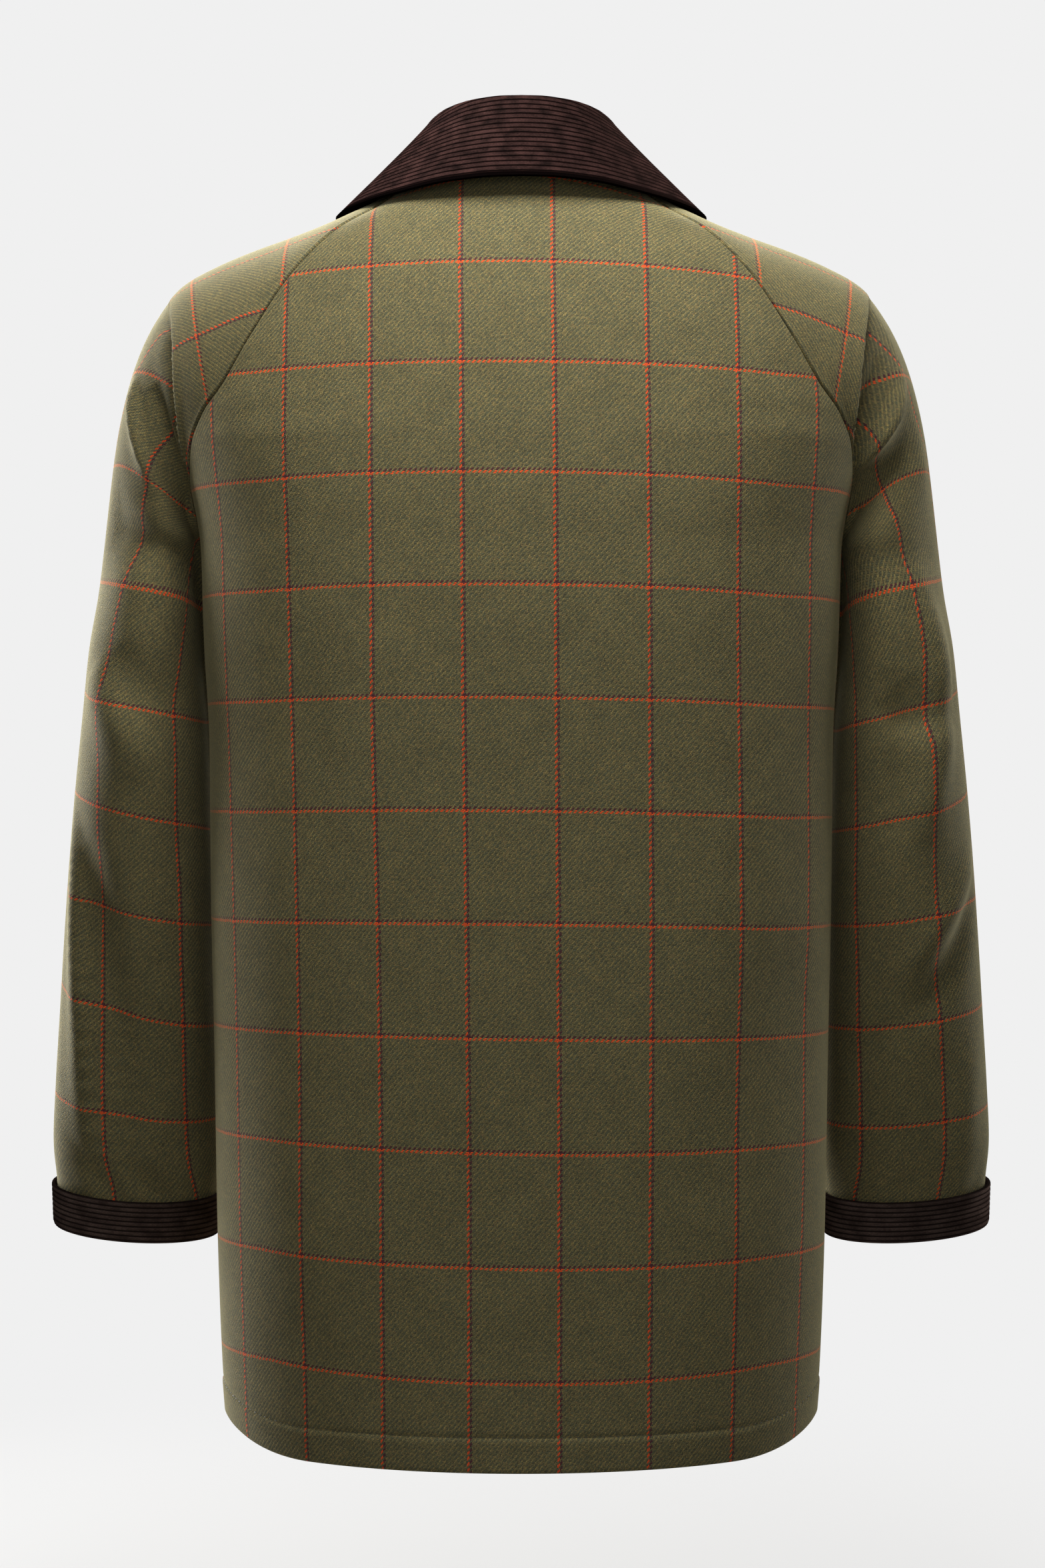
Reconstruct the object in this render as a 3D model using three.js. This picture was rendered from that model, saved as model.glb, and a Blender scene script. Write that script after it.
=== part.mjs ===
// A man's raglan field jacket in checked wool tweed, with a corduroy collar and turned-back
// corduroy cuffs, worked out as its cut pieces of cloth standing filled out as when worn.
//
// Millimetres, +Z up. The origin is the middle of the neck opening, level with the collar seam at
// the centre back. The fronts face -Y, the back faces +Y, and the wearer's left is +X.
// Every piece of cloth is a thin wall: a grid of points on its outer face, and the same grid moved
// in by the thickness of the cloth.
import * as THREE from 'three';

// Driving sizes
const TWEED = 2.0; // tweed with its turnings
const CORDUROY = 2.4; // corduroy collar and cuff, made double
const SEAM_GAP = 0.36; // between the pieces at a seam
const CORNER_GAP = 1.8; // where four of them meet under the arm
const LAP = 20; // each front runs this far past the centre front
const LAP_LIFT = 3.4; // the left front stands this far off the right one
const LAP_BLEND = [22, 46]; // from the centre front: where the lift starts to fade, and is gone
const HEM_RISE = 17; // the hem is higher at the side seams
const HEM_REACH = 100; // and comes down to its level this far from them
const HEM_BLEND = [700, 863]; // below the neck: where the rise begins, and is whole
const ROLL = 4.2; // half the thickness of the collar's roll
const COLLAR_CLEAR = 0.5; // between the neck edge and the collar standing on it
const FALL_BOW = 1; // how far the fall of the collar bows up between its roll and its edge
const FALL_SHARES = [0.35, 0.7]; // where it is measured on the way down to the edge
const CUFF_CLEAR = 1.2; // between the sleeve and the cuff turned back over it
const CUFF_END = 1.5; // and between the end of the sleeve and the turning under it
const CUFF_FOLD = 0.8; // how far the cuff draws in at its folded bottom edge
const BUTTON = {
  radius: 11.5,
  thickness: 4,
  bevel: 0.8,
  sides: 24,
  clear: 0.35,
  holes: 4,
  holeRing: 3.2,
  holeRadius: 1.9,
  holeSides: 8,
};
const BUTTON_TOP = -94;
const BUTTON_PITCH = 128;
const BUTTON_COUNT = 5;

// Grid columns, from seam to seam
const BACK_COLUMNS = 12;
const FRONT_COLUMNS = 8;
const SLEEVE_COLUMNS = 7;

const COLOURS = { tweed: 0x5e5539, corduroy: 0x2e211d, horn: 0x33241a };

const radians = THREE.MathUtils.degToRad;
const lerp = THREE.MathUtils.lerp;

function table(columns, rows) {
  const names = columns.split(' ');
  return rows.map((row) => Object.fromEntries(names.map((name, i) => [name, row[i]])));
}

// The raglan zone, a row for each section from the neck to the underarm. A section of the sleeve
// runs from the back raglan seam over the overarm seam to the front raglan seam.
const OVERARM = table('x y z', [
  [77, -2, -15], [96, -3, -27], [121, -4, -39.5], [150, -5, -49.5], [180, -6, -59],
  [208, -8, -70], [231, -11, -82.5], [248.5, -15, -103], [264, -20, -133], [277.5, -27, -181],
  [288, -34, -258],
]);

// wrap is the angle that a section of the sleeve turns through from the overarm seam to the
// raglan seam, and bulge is how far it swells on the way. midY and midZ are on the centre line
// of the back or the front, and corner is how square the body's section is.
const BACK_SEAM = table('x y z wrap bulge midY midZ corner', [
  [70, 38, -16, 60, 41, 74, 0, 2.0],
  [94, 66, -39, 70, 70, 90, -22, 2.1],
  [123, 82, -58.5, 76, 85, 102, -46, 2.2],
  [152, 91, -89.5, 82, 93, 117, -82, 2.3],
  [177, 92, -127.5, 86, 96, 128, -123, 2.4],
  [196.5, 86, -159.5, 92, 93, 134, -157, 2.5],
  [210.7, 76, -178, 98, 87, 137, -177, 2.5],
  [219.5, 60, -198, 106, 78, 139.5, -198, 2.6],
  [222, 38, -220, 118, 66, 141.5, -220, 2.6],
  [219.5, 15, -243, 140, 56, 143, -243, 2.6],
  [217, 0, -262, 180, 50, 143.5, -262, 2.6],
]);
const FRONT_SEAM = table('x y z wrap bulge midY midZ corner', [
  [66, -42, -38, 62, -42, -75, -70, 2.0],
  [86, -68, -62, 72, -68, -90, -86, 2.1],
  [110, -88, -87, 78, -86, -102, -106, 2.2],
  [135, -99, -114, 84, -96, -114, -128, 2.3],
  [160, -105, -142, 90, -100, -123, -152, 2.4],
  [180, -105, -168, 96, -99, -130, -176, 2.4],
  [196, -99, -191, 102, -95, -134, -197, 2.5],
  [208, -86, -211, 112, -88, -137, -215, 2.5],
  [215.5, -64, -230, 124, -84, -139, -232, 2.6],
  [218.5, -34, -248, 146, -86, -140, -248, 2.6],
  [217, 0, -262, 180, -98, -140.5, -262, 2.6],
]);

// The body below the underarm, a row for each level section
const BODY = table('z half back front corner', [
  [-262, 217, 143.5, -140.5, 2.6],
  [-320, 215, 145, -142, 2.6],
  [-400, 211, 144, -141, 2.6],
  [-500, 210, 143, -139, 2.6],
  [-600, 208, 142, -137, 2.5],
  [-700, 206.5, 140, -135, 2.4],
  [-790, 204.5, 138.5, -133, 2.2],
  [-840, 202.5, 137.5, -132, 2.1],
  [-863, 201, 137, -131, 2.0],
]);

// The arm below the underarm, a row for each closed section: the height of its middle, the
// inner and outer edge and how far forward each lies, how far it swells behind and before,
// and how far it leans forward and outward, in degrees
const ARM = table('z inner outer innerY outerY behind before forward outward', [
  [-292, 219, 292, -13, -37, 60, -92, 1, 4],
  [-332, 218.5, 299, -25, -40, 68, -84, 2, 5],
  [-378, 216, 304, -34, -43, 72, -77, 3, 5],
  [-428, 214.5, 309.5, -41, -46, 70, -73, 4, 5],
  [-480, 213, 314.5, -47, -50, 65, -69, 5, 5],
  [-532, 212.5, 319, -53, -56, 60, -64, 6, 4],
  [-584, 212, 323, -60, -62, 54, -58, 7, 4],
  [-634, 212, 327, -67, -69, 48, -51, 8, 4],
  [-676, 212.5, 329.5, -74, -75, 42, -44, 9.5, 4],
  [-705, 215.5, 327.5, -78, -79, 36, -37, 11, 3.5],
  [-730.5, 216.5, 327, -81, -82, 33, -34, 11, 3.5],
]);

// The collar from the centre back to the centre front: the share of the way round the neck, the
// top of the roll, and the outer edge
const COLLAR = table('share foldX foldY foldZ edgeX edgeY edgeZ', [
  [0.0, 0, 63, 33, 0, 107, -21],
  [0.16, 32, 58, 31, 47, 102, -23.5],
  [0.31, 53, 38, 27, 86, 81, -30],
  [0.46, 63, 4, 21.5, 121, 8, -35],
  [0.6, 58, -28, 11, 118, -50, -43],
  [0.75, 41, -52, -9, 99, -98, -66],
  [0.9, 17, -66, -33, 68, -122, -94],
  [1.0, 3, -71, -46, 46, -124, -104],
]);

// Smooth curve through the rows of a table, by Catmull-Rom steps on its first column
function follow(rows, key, at) {
  const last = rows.length - 1;
  const column = Object.keys(rows[0])[0];
  let i = 0;
  while (i < last - 1 && rows[i + 1][column] < at) i += 1;
  const t = (at - rows[i][column]) / (rows[i + 1][column] - rows[i][column]);
  const [a, b] = [rows[i][key], rows[i + 1][key]];
  const before = i > 0 ? rows[i - 1][key] : 2 * a - b;
  const after = i < last - 1 ? rows[i + 2][key] : 2 * b - a;
  return 0.5 * (2 * a + (b - before) * t + (2 * before - 5 * a + 4 * b - after) * t ** 2
    + (3 * a - before - 3 * b + after) * t ** 3);
}

// One level section of the body: a point at the angle share from 0 at the centre line to 1 at
// the seam, on a squared oval through both
function bodyPoint(seam, mid, corner, share) {
  const turn = Math.acos(Math.min(1, (seam.y / mid.y) ** (corner / 2)));
  const reach = seam.x / Math.sin(turn) ** (2 / corner);
  const angle = turn * Math.abs(share);
  const x = Math.sign(share) * reach * Math.sin(angle) ** (2 / corner);
  const y = mid.y * Math.cos(angle) ** (2 / corner);
  return new THREE.Vector3(x, y, seam.z + (mid.z - seam.z) * (1 - (x / seam.x) ** 2));
}

function hemLift(row, y) {
  const below = THREE.MathUtils.smoothstep(-row.z, ...HEM_BLEND);
  return below * HEM_RISE * Math.max(0, 1 - (y / HEM_REACH) ** 2) ** 2;
}

function bodySections(seams, side) {
  const upper = seams.map((seam) => ({ seam, mid: { y: seam.midY, z: seam.midZ }, row: seam }));
  const lower = BODY.slice(1).map((row) => ({
    seam: { x: row.half, y: 0, z: row.z },
    mid: { y: row[side], z: row.z },
    row,
  }));
  return [...upper, ...lower];
}

function bodyGrid(seams, side, shares) {
  return bodySections(seams, side).map(({ seam, mid, row }) => shares(seam, mid, row).map((share) => {
    const point = bodyPoint(seam, mid, row.corner, share);
    point.z += hemLift(row, point.y);
    return point;
  }));
}

function backGrid() {
  const even = Array.from({ length: BACK_COLUMNS + 1 }, (_, j) => (2 * j) / BACK_COLUMNS - 1);
  return bodyGrid(BACK_SEAM, 'back', () => even);
}

// The left front runs from its seam past the centre front, where it lies over the right one
function frontGrid(lift) {
  const shares = (seam, mid, row) => {
    const turn = Math.acos(Math.min(1, (seam.y / mid.y) ** (row.corner / 2)));
    const reach = seam.x / Math.sin(turn) ** (2 / row.corner);
    const shareAt = (x) => Math.asin((x / reach) ** (row.corner / 2)) / turn;
    const side = FRONT_COLUMNS - 3;
    const across = Array.from({ length: side + 1 }, (_, j) => lerp(1, shareAt(LAP_BLEND[1]), j / side));
    return [...across, shareAt(LAP_BLEND[0]), 0, -shareAt(LAP)];
  };
  const grid = bodyGrid(FRONT_SEAM, 'front', shares);
  grid.flat().forEach((point) => {
    point.y -= lift * (1 - THREE.MathUtils.smoothstep(point.x, ...LAP_BLEND));
  });
  return grid;
}

// A point of a sleeve's section, from 0 at the overarm seam to 1 at the other seam
function sleevePoint(top, seam, section, share) {
  const turn = radians(section.wrap);
  const angle = turn * share;
  const whole = 1 - Math.cos(turn);
  const along = (1 - Math.cos(angle)) / whole;
  const slide = (seam.y - top.y - section.bulge * Math.sin(turn)) / whole;
  const swell = slide * (1 - Math.cos(angle)) + section.bulge * Math.sin(angle);
  const straight = (seam.y - top.y) * along;
  return new THREE.Vector3(
    lerp(top.x, seam.x, along),
    top.y + swell,
    lerp(top.z, seam.z, along) - Math.tan(radians(section.forward ?? 0)) * (swell - straight),
  );
}

function sleeveGrid(seams, bulgeKey) {
  const upper = seams.map((seam, i) => ({ top: OVERARM[i], seam, section: seam }));
  const lower = ARM.map((row) => {
    const rise = ((row.outer - row.inner) / 2) * Math.tan(radians(row.outward));
    return {
      top: { x: row.outer, y: row.outerY, z: row.z + rise },
      seam: { x: row.inner, y: row.innerY, z: row.z - rise },
      section: { wrap: 180, bulge: row[bulgeKey], forward: row.forward },
    };
  });
  return [...upper, ...lower].map(({ top, seam, section }) => (
    Array.from({ length: SLEEVE_COLUMNS + 1 }, (_, j) => (
      sleevePoint(top, seam, section, 1 - j / SLEEVE_COLUMNS)
    ))
  ));
}

const mirrored = (grid) => grid.map((row) => (
  [...row].reverse().map((p) => new THREE.Vector3(-p.x, p.y, p.z))
));
const turned = (grid) => grid.map((row) => [...row].reverse());

// Pieces whose grids share the points of their seams. Rows run down from the neck, and columns
// run so that the cross product of a column step and a row step points out of the jacket.
const backSleeve = sleeveGrid(BACK_SEAM, 'behind');
const frontSleeve = turned(sleeveGrid(FRONT_SEAM, 'before'));
const SHELL = {
  back: backGrid(),
  front_left: frontGrid(LAP_LIFT),
  front_right: mirrored(frontGrid(0)),
  sleeve_left_back: backSleeve,
  sleeve_left_front: frontSleeve,
  sleeve_right_back: mirrored(backSleeve),
  sleeve_right_front: mirrored(frontSleeve),
};

const placeOf = (p) => p.toArray().map((v) => Math.round(v * 100) || 0).join(' ');

function stepAt(grid, i, j, di, dj) {
  const to = grid[i + di]?.[j + dj];
  const from = grid[i - di]?.[j - dj];
  return new THREE.Vector3().subVectors(to ?? grid[i][j], from ?? grid[i][j]);
}

function faceNormal(grid, i, j) {
  return stepAt(grid, i, j, 0, 1).cross(stepAt(grid, i, j, 1, 0)).normalize();
}

// The way into a piece from a point on its edge, or nothing inside it
function wayIn(grid, i, j) {
  const way = new THREE.Vector3();
  const rows = grid.length - 1;
  const columns = grid[0].length - 1;
  const add = (ii, jj, along) => {
    const step = new THREE.Vector3().subVectors(grid[ii][jj], grid[i][j]);
    way.add(step.projectOnPlane(along.normalize()).normalize());
  };
  if (j === 0) add(i, 1, stepAt(grid, i, j, 1, 0));
  if (j === columns) add(i, columns - 1, stepAt(grid, i, j, 1, 0));
  if (i === 0) add(1, j, stepAt(grid, i, j, 0, 1));
  if (i === rows) add(rows - 1, j, stepAt(grid, i, j, 0, 1));
  return way;
}

// What the pieces that meet at a point have in common: the way out of the cloth there, which
// still holds where a seam is folded shut, and the mean of way in less normal, which each
// piece stays clear of by half the gap
const shared = new Map();
Object.values(SHELL).forEach((grid) => grid.forEach((row, i) => row.forEach((point, j) => {
  const place = placeOf(point);
  const fresh = { normal: new THREE.Vector3(), pull: new THREE.Vector3(), count: 0 };
  const entry = shared.get(place) ?? fresh;
  const normal = faceNormal(grid, i, j);
  const way = wayIn(grid, i, j);
  entry.normal.addScaledVector(normal, 2).add(way);
  entry.pull.add(way).sub(normal);
  entry.count += 1;
  shared.set(place, entry);
})));

function layers(grid, wall) {
  const outer = [];
  const inner = [];
  grid.forEach((row, i) => {
    outer.push([]);
    inner.push([]);
    row.forEach((point, j) => {
      const { normal, pull, count } = shared.get(placeOf(point));
      const face = point.clone();
      const out = count > 1 ? normal : faceNormal(grid, i, j);
      if (count > 1) {
        const own = wayIn(grid, i, j).sub(faceNormal(grid, i, j));
        const gap = count > 2 ? CORNER_GAP : SEAM_GAP;
        face.addScaledVector(own.addScaledVector(pull, -1 / count).normalize(), gap / 2);
      }
      outer[i].push(face);
      inner[i].push(face.clone().addScaledVector(out.clone().normalize(), -wall));
    });
  });
  return [outer, inner];
}

// A closed wall between two grids of the same shape
function wallGeometry(outer, inner, ring = false) {
  const rows = outer.length;
  const columns = outer[0].length;
  const at = (layer, i, j) => layer * rows * columns + i * columns + (j % columns);
  const faces = [];
  const quad = (a, b, c, d) => faces.push(a, c, b, a, d, c);
  const across = ring ? columns : columns - 1;
  for (let i = 0; i < rows - 1; i += 1) {
    for (let j = 0; j < across; j += 1) {
      quad(at(0, i, j), at(0, i + 1, j), at(0, i + 1, j + 1), at(0, i, j + 1));
      quad(at(1, i, j), at(1, i, j + 1), at(1, i + 1, j + 1), at(1, i + 1, j));
    }
  }
  for (let j = 0; j < across; j += 1) {
    quad(at(0, 0, j), at(0, 0, j + 1), at(1, 0, j + 1), at(1, 0, j));
    quad(at(0, rows - 1, j + 1), at(0, rows - 1, j), at(1, rows - 1, j), at(1, rows - 1, j + 1));
  }
  if (!ring) {
    for (let i = 0; i < rows - 1; i += 1) {
      quad(at(0, i + 1, 0), at(0, i, 0), at(1, i, 0), at(1, i + 1, 0));
      quad(at(0, i + 1, across), at(1, i + 1, across), at(1, i, across), at(0, i, across));
    }
  }
  const positions = [...outer.flat(), ...inner.flat()].flatMap((p) => p.toArray());
  const geometry = new THREE.BufferGeometry();
  geometry.setAttribute('position', new THREE.Float32BufferAttribute(positions, 3));
  geometry.setIndex(faces);
  geometry.computeVertexNormals();
  return geometry;
}

const finishes = {
  tweed: { color: COLOURS.tweed, roughness: 0.95, metalness: 0 },
  corduroy: { color: COLOURS.corduroy, roughness: 0.9, metalness: 0 },
  horn: { color: COLOURS.horn, roughness: 0.35, metalness: 0 },
};
const jacket = new THREE.Group();

function addPiece(name, geometry, finish) {
  const mesh = new THREE.Mesh(geometry, new THREE.MeshStandardMaterial(finishes[finish]));
  mesh.name = name;
  jacket.add(mesh);
  return mesh;
}

Object.entries(SHELL).forEach(([name, grid]) => {
  addPiece(name, wallGeometry(...layers(grid, TWEED)), 'tweed');
});

// The neck edge from the centre back to the centre front, on the side of one front. The right
// side is handled as its mirror image.
function neckEdge(front) {
  return [
    ...SHELL.back[0].slice(BACK_COLUMNS / 2),
    ...SHELL.sleeve_left_back[0].slice(1),
    ...SHELL.sleeve_left_front[0].slice(1),
    ...front[0].slice(1).filter((p) => p.x > 1),
  ];
}

// A section of the collar across the neck: up the stand, over the roll and down the fall
function collarSection(foot, fold, edge) {
  const out = new THREE.Vector3(edge.x - fold.x, edge.y - fold.y, 0).normalize();
  const above = (point, rise) => point.clone().add(new THREE.Vector3(0, 0, rise));
  const base = above(foot, COLLAR_CLEAR).addScaledVector(out, -CORDUROY);
  const inside = above(fold, -ROLL).addScaledVector(out, -ROLL);
  const outside = above(fold, -ROLL).addScaledVector(out, ROLL);
  const fall = (share) => above(outside.clone().lerp(edge, share), FALL_BOW * Math.sin(Math.PI * share));
  const stand = base.clone().lerp(inside, 0.5);
  return [base, stand, inside, fold, outside, ...FALL_SHARES.map(fall), edge];
}

function collarHalf(front) {
  const neck = neckEdge(front);
  const runs = [0];
  neck.slice(1).forEach((p, i) => runs.push(runs[i] + p.distanceTo(neck[i])));
  return neck.map((foot, i) => {
    const value = (key) => follow(COLLAR, key, runs[i] / runs.at(-1));
    const fold = new THREE.Vector3(value('foldX'), value('foldY'), value('foldZ'));
    const edge = new THREE.Vector3(value('edgeX'), value('edgeY'), value('edgeZ'));
    return collarSection(foot, fold, edge);
  });
}

function collarGrid() {
  const left = collarHalf(SHELL.front_left);
  const right = collarHalf(mirrored(SHELL.front_right));
  const other = right.slice(1).reverse().map((section) => (
    section.map((p) => new THREE.Vector3(-p.x, p.y, p.z))
  ));
  return [...other, ...left];
}

function plainLayers(grid, wall) {
  const under = grid.map((row, i) => row.map((point, j) => (
    point.clone().addScaledVector(faceNormal(grid, i, j), -wall)
  )));
  return [grid, under];
}

addPiece('collar', wallGeometry(...plainLayers(collarGrid(), CORDUROY)), 'corduroy');

// A cuff: turned back over the end of the sleeve, and turned in under it. The sleeve's last two
// sections are level with the top of the cuff and with its own end.
function cuffGeometry(back, front) {
  const ringAt = (row) => [...back[row].slice(0, -1), ...front[row].slice(0, -1)];
  const end = ringAt(back.length - 1);
  const top = ringAt(back.length - 2);
  const total = (ring) => ring.reduce((sum, p) => sum.add(p), new THREE.Vector3());
  const up = total(top).sub(total(end)).normalize();
  const offset = (ring, out, rise) => ring.map((point, j) => {
    const along = new THREE.Vector3().subVectors(ring[(j + 1) % ring.length], ring.at(j - 1)).normalize();
    return point.clone().addScaledVector(up.clone().cross(along), out).addScaledVector(up, rise);
  });
  const faceOut = CUFF_CLEAR + CORDUROY;
  const outer = [
    offset(top, faceOut, 0),
    offset(end, faceOut, 0),
    offset(end, faceOut - CUFF_FOLD, -CUFF_END - CORDUROY),
    offset(end, -TWEED, -CUFF_END - CORDUROY),
  ];
  const inner = [
    offset(top, CUFF_CLEAR, 0),
    offset(end, CUFF_CLEAR, 0),
    offset(end, CUFF_CLEAR, -CUFF_END),
    offset(end, -TWEED, -CUFF_END),
  ];
  return wallGeometry(outer, inner, true);
}

addPiece('cuff_left', cuffGeometry(SHELL.sleeve_left_back, SHELL.sleeve_left_front), 'corduroy');
addPiece('cuff_right', cuffGeometry(SHELL.sleeve_right_back, SHELL.sleeve_right_front), 'corduroy');

// A four-hole button, lying on the XY plane
function buttonGeometry() {
  const circle = (x, y, radius, sides) => Array.from({ length: sides }, (_, k) => {
    const angle = (k * 2 * Math.PI) / sides;
    return new THREE.Vector2(x + radius * Math.cos(angle), y + radius * Math.sin(angle));
  });
  const disc = new THREE.Shape(circle(0, 0, BUTTON.radius - BUTTON.bevel, BUTTON.sides));
  circle(0, 0, BUTTON.holeRing, BUTTON.holes).forEach(({ x, y }) => {
    disc.holes.push(new THREE.Path(circle(x, y, BUTTON.holeRadius, BUTTON.holeSides)));
  });
  const button = new THREE.ExtrudeGeometry(disc, {
    depth: BUTTON.thickness - 2 * BUTTON.bevel,
    bevelThickness: BUTTON.bevel,
    bevelSize: BUTTON.bevel,
    bevelSegments: 1,
  });
  return button.translate(0, 0, BUTTON.bevel);
}

// Where the outer face of the left front is on the centre line, and how it slopes there
const centreLine = SHELL.front_left.map((row) => row.at(-2));

function addButton(index) {
  const z = BUTTON_TOP - index * BUTTON_PITCH;
  const below = centreLine.findIndex((p) => p.z <= z);
  const [high, low] = [centreLine[below - 1], centreLine[below]];
  const slope = new THREE.Vector3().subVectors(low, high).normalize();
  const out = new THREE.Vector3(0, slope.z, -slope.y);
  const button = addPiece(`button_${index + 1}`, buttonGeometry(), 'horn');
  button.position.copy(high.clone().lerp(low, (high.z - z) / (high.z - low.z)));
  button.position.addScaledVector(out, BUTTON.clear);
  button.quaternion.setFromUnitVectors(new THREE.Vector3(0, 0, 1), out);
}

for (let index = 0; index < BUTTON_COUNT; index += 1) addButton(index);

export default jacket;
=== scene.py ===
import math

import bmesh
import bpy
import numpy as np
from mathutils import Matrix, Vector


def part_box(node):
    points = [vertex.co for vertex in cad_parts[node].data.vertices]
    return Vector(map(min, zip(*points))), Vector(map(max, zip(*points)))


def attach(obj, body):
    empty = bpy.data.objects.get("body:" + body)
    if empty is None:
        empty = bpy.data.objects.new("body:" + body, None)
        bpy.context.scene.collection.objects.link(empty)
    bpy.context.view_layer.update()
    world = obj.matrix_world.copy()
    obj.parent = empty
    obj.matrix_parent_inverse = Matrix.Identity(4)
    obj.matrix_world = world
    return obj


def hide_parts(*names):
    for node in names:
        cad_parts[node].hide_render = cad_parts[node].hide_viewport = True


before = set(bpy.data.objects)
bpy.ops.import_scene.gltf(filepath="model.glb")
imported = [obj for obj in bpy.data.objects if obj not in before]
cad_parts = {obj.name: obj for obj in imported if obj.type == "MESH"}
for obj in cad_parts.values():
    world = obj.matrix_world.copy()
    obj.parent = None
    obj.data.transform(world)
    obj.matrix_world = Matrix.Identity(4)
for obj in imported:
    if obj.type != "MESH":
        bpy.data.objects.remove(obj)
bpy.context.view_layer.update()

# A man's raglan jacket in checked wool tweed, with a corduroy collar and turned-back corduroy
# cuffs, standing filled out as when worn. Sizes in tables are millimetres in the model's frame:
# +Z up, the fronts face -Y, the wearer's left is +X.

# ---- Studio ---------------------------------------------------------------------------------
# A level camera behind the wearer's back, a round pale floor below the hem, and soft boxes of
# light: a weak one close above the neck, a broad weak one behind the camera, a strong one high
# before the fronts, and one at each side, well forward.

SENSOR = 36.0
LENS = 111.12245  # a long lens, in millimetres like the sensor
CAMERA_PLACE = (-0.0009, 2.2, -0.4218)
PAPER = 0.871  # how bright the pale surround looks
ROOM_LIGHT = 0.1  # how much light it gives
FLOOR_LEVEL = -1.02
FLOOR_RADIUS = 1.5
FLOOR_WHOLE = 0.30  # share of the radius out to which the floor is opaque
FLOOR_PAINT = "#a5a4a2"
FLOOR_SIDES = 96
# side, back, height, then the point it faces, width, length, power in watts
LAMPS = {
    "box_near_neck": ((0.0, 0.42, 0.56), (0.0, 0.10, -0.10), 0.55, 0.35, 15.0),
    "box_behind": ((0.1, 2.4, -0.3), (0.0, 0.0, -0.4), 2.0, 2.0, 14.0),
    "box_before": ((0.2, -1.3, 1.1), (0.0, 0.0, -0.2), 1.6, 0.8, 75.0),
    "box_left": ((1.25, -0.85, -0.35), (0.2, 0.0, -0.45), 0.6, 1.6, 54.0),
    "box_right": ((-1.35, -0.7, -0.3), (-0.2, 0.0, -0.42), 0.6, 1.4, 15.0),
}

scene = bpy.context.scene
scene.view_settings.view_transform = "Standard"


def linear(colour):
    """A colour written as sRGB hex, as the linear values that shaders take."""
    parts = [int(colour[i:i + 2], 16) / 255 for i in (1, 3, 5)]
    return [p / 12.92 if p <= 0.04045 else ((p + 0.055) / 1.055) ** 2.4 for p in parts] + [1.0]


def blank_material(name):
    """A material whose node tree is empty, and that tree."""
    material = bpy.data.materials.new(name)
    material.use_nodes = True
    material.node_tree.nodes.clear()
    return material, material.node_tree


def add_node(tree, kind, inputs=None, **settings):
    """A node with its settings, and its inputs set to a value or linked from a socket, which for
    a node is its first one."""
    node = tree.nodes.new(kind)
    for key, value in settings.items():
        setattr(node, key, value)
    for key, value in (inputs or {}).items():
        if isinstance(value, bpy.types.Node):
            value = value.outputs[0]
        if isinstance(value, bpy.types.NodeSocket):
            tree.links.new(value, node.inputs[key])
        else:
            node.inputs[key].default_value = value
    return node


def aim(thing, place, target):
    """Puts a camera or a lamp at a place, looking at a target."""
    way = [b - a for a, b in zip(place, target)]
    flat = math.hypot(way[0], way[1])
    thing.location = place
    thing.rotation_euler = (math.atan2(flat, -way[2]), 0, math.atan2(-way[0], way[1]))


camera_data = bpy.data.cameras.new("camera")
camera_data.sensor_fit = "HORIZONTAL"
camera_data.sensor_width = SENSOR
camera_data.lens = LENS
camera = bpy.data.objects.new("camera", camera_data)
scene.collection.objects.link(camera)
aim(camera, CAMERA_PLACE, (CAMERA_PLACE[0], 0, CAMERA_PLACE[2]))
scene.camera = camera

for name, (place, target, width, length, power) in LAMPS.items():
    lamp_data = bpy.data.lights.new(name, "AREA")
    lamp_data.shape = "RECTANGLE"
    lamp_data.size = width
    lamp_data.size_y = length
    lamp_data.energy = power
    lamp = bpy.data.objects.new(name, lamp_data)
    scene.collection.objects.link(lamp)
    aim(lamp, place, target)

world = bpy.data.worlds.new("studio")
world.use_nodes = True
world.node_tree.nodes.clear()
seen = add_node(world.node_tree, "ShaderNodeBackground", {"Color": (1, 1, 1, 1), "Strength": PAPER})
lit = add_node(world.node_tree, "ShaderNodeBackground",
               {"Color": (1, 1, 1, 1), "Strength": ROOM_LIGHT})
ray = add_node(world.node_tree, "ShaderNodeLightPath")
both = add_node(world.node_tree, "ShaderNodeMixShader",
                {0: ray.outputs["Is Camera Ray"], 1: lit.outputs[0], 2: seen.outputs[0]})
add_node(world.node_tree, "ShaderNodeOutputWorld", {"Surface": both.outputs[0]})
scene.world = world

# Matt emulsion on a smooth floor: no gloss at all, only soft shade, fading out towards its rim
floor_paint, tree = blank_material("matt_floor_paint")
where = add_node(tree, "ShaderNodeTexCoord")
radius = add_node(tree, "ShaderNodeVectorMath", {0: where.outputs["Object"]}, operation="LENGTH")
fade = add_node(tree, "ShaderNodeMapRange",
                {"Value": radius.outputs["Value"], "From Min": FLOOR_RADIUS * FLOOR_WHOLE,
                 "From Max": FLOOR_RADIUS, "To Min": 1.0, "To Max": 0.0},
                interpolation_type="SMOOTHSTEP")
paint = add_node(tree, "ShaderNodeBsdfDiffuse", {"Color": linear(FLOOR_PAINT)})
clear = add_node(tree, "ShaderNodeBsdfTransparent")
floor_mix = add_node(tree, "ShaderNodeMixShader",
                     {0: fade.outputs[0], 1: clear.outputs[0], 2: paint.outputs[0]})
add_node(tree, "ShaderNodeOutputMaterial", {"Surface": floor_mix.outputs[0]})

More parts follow.
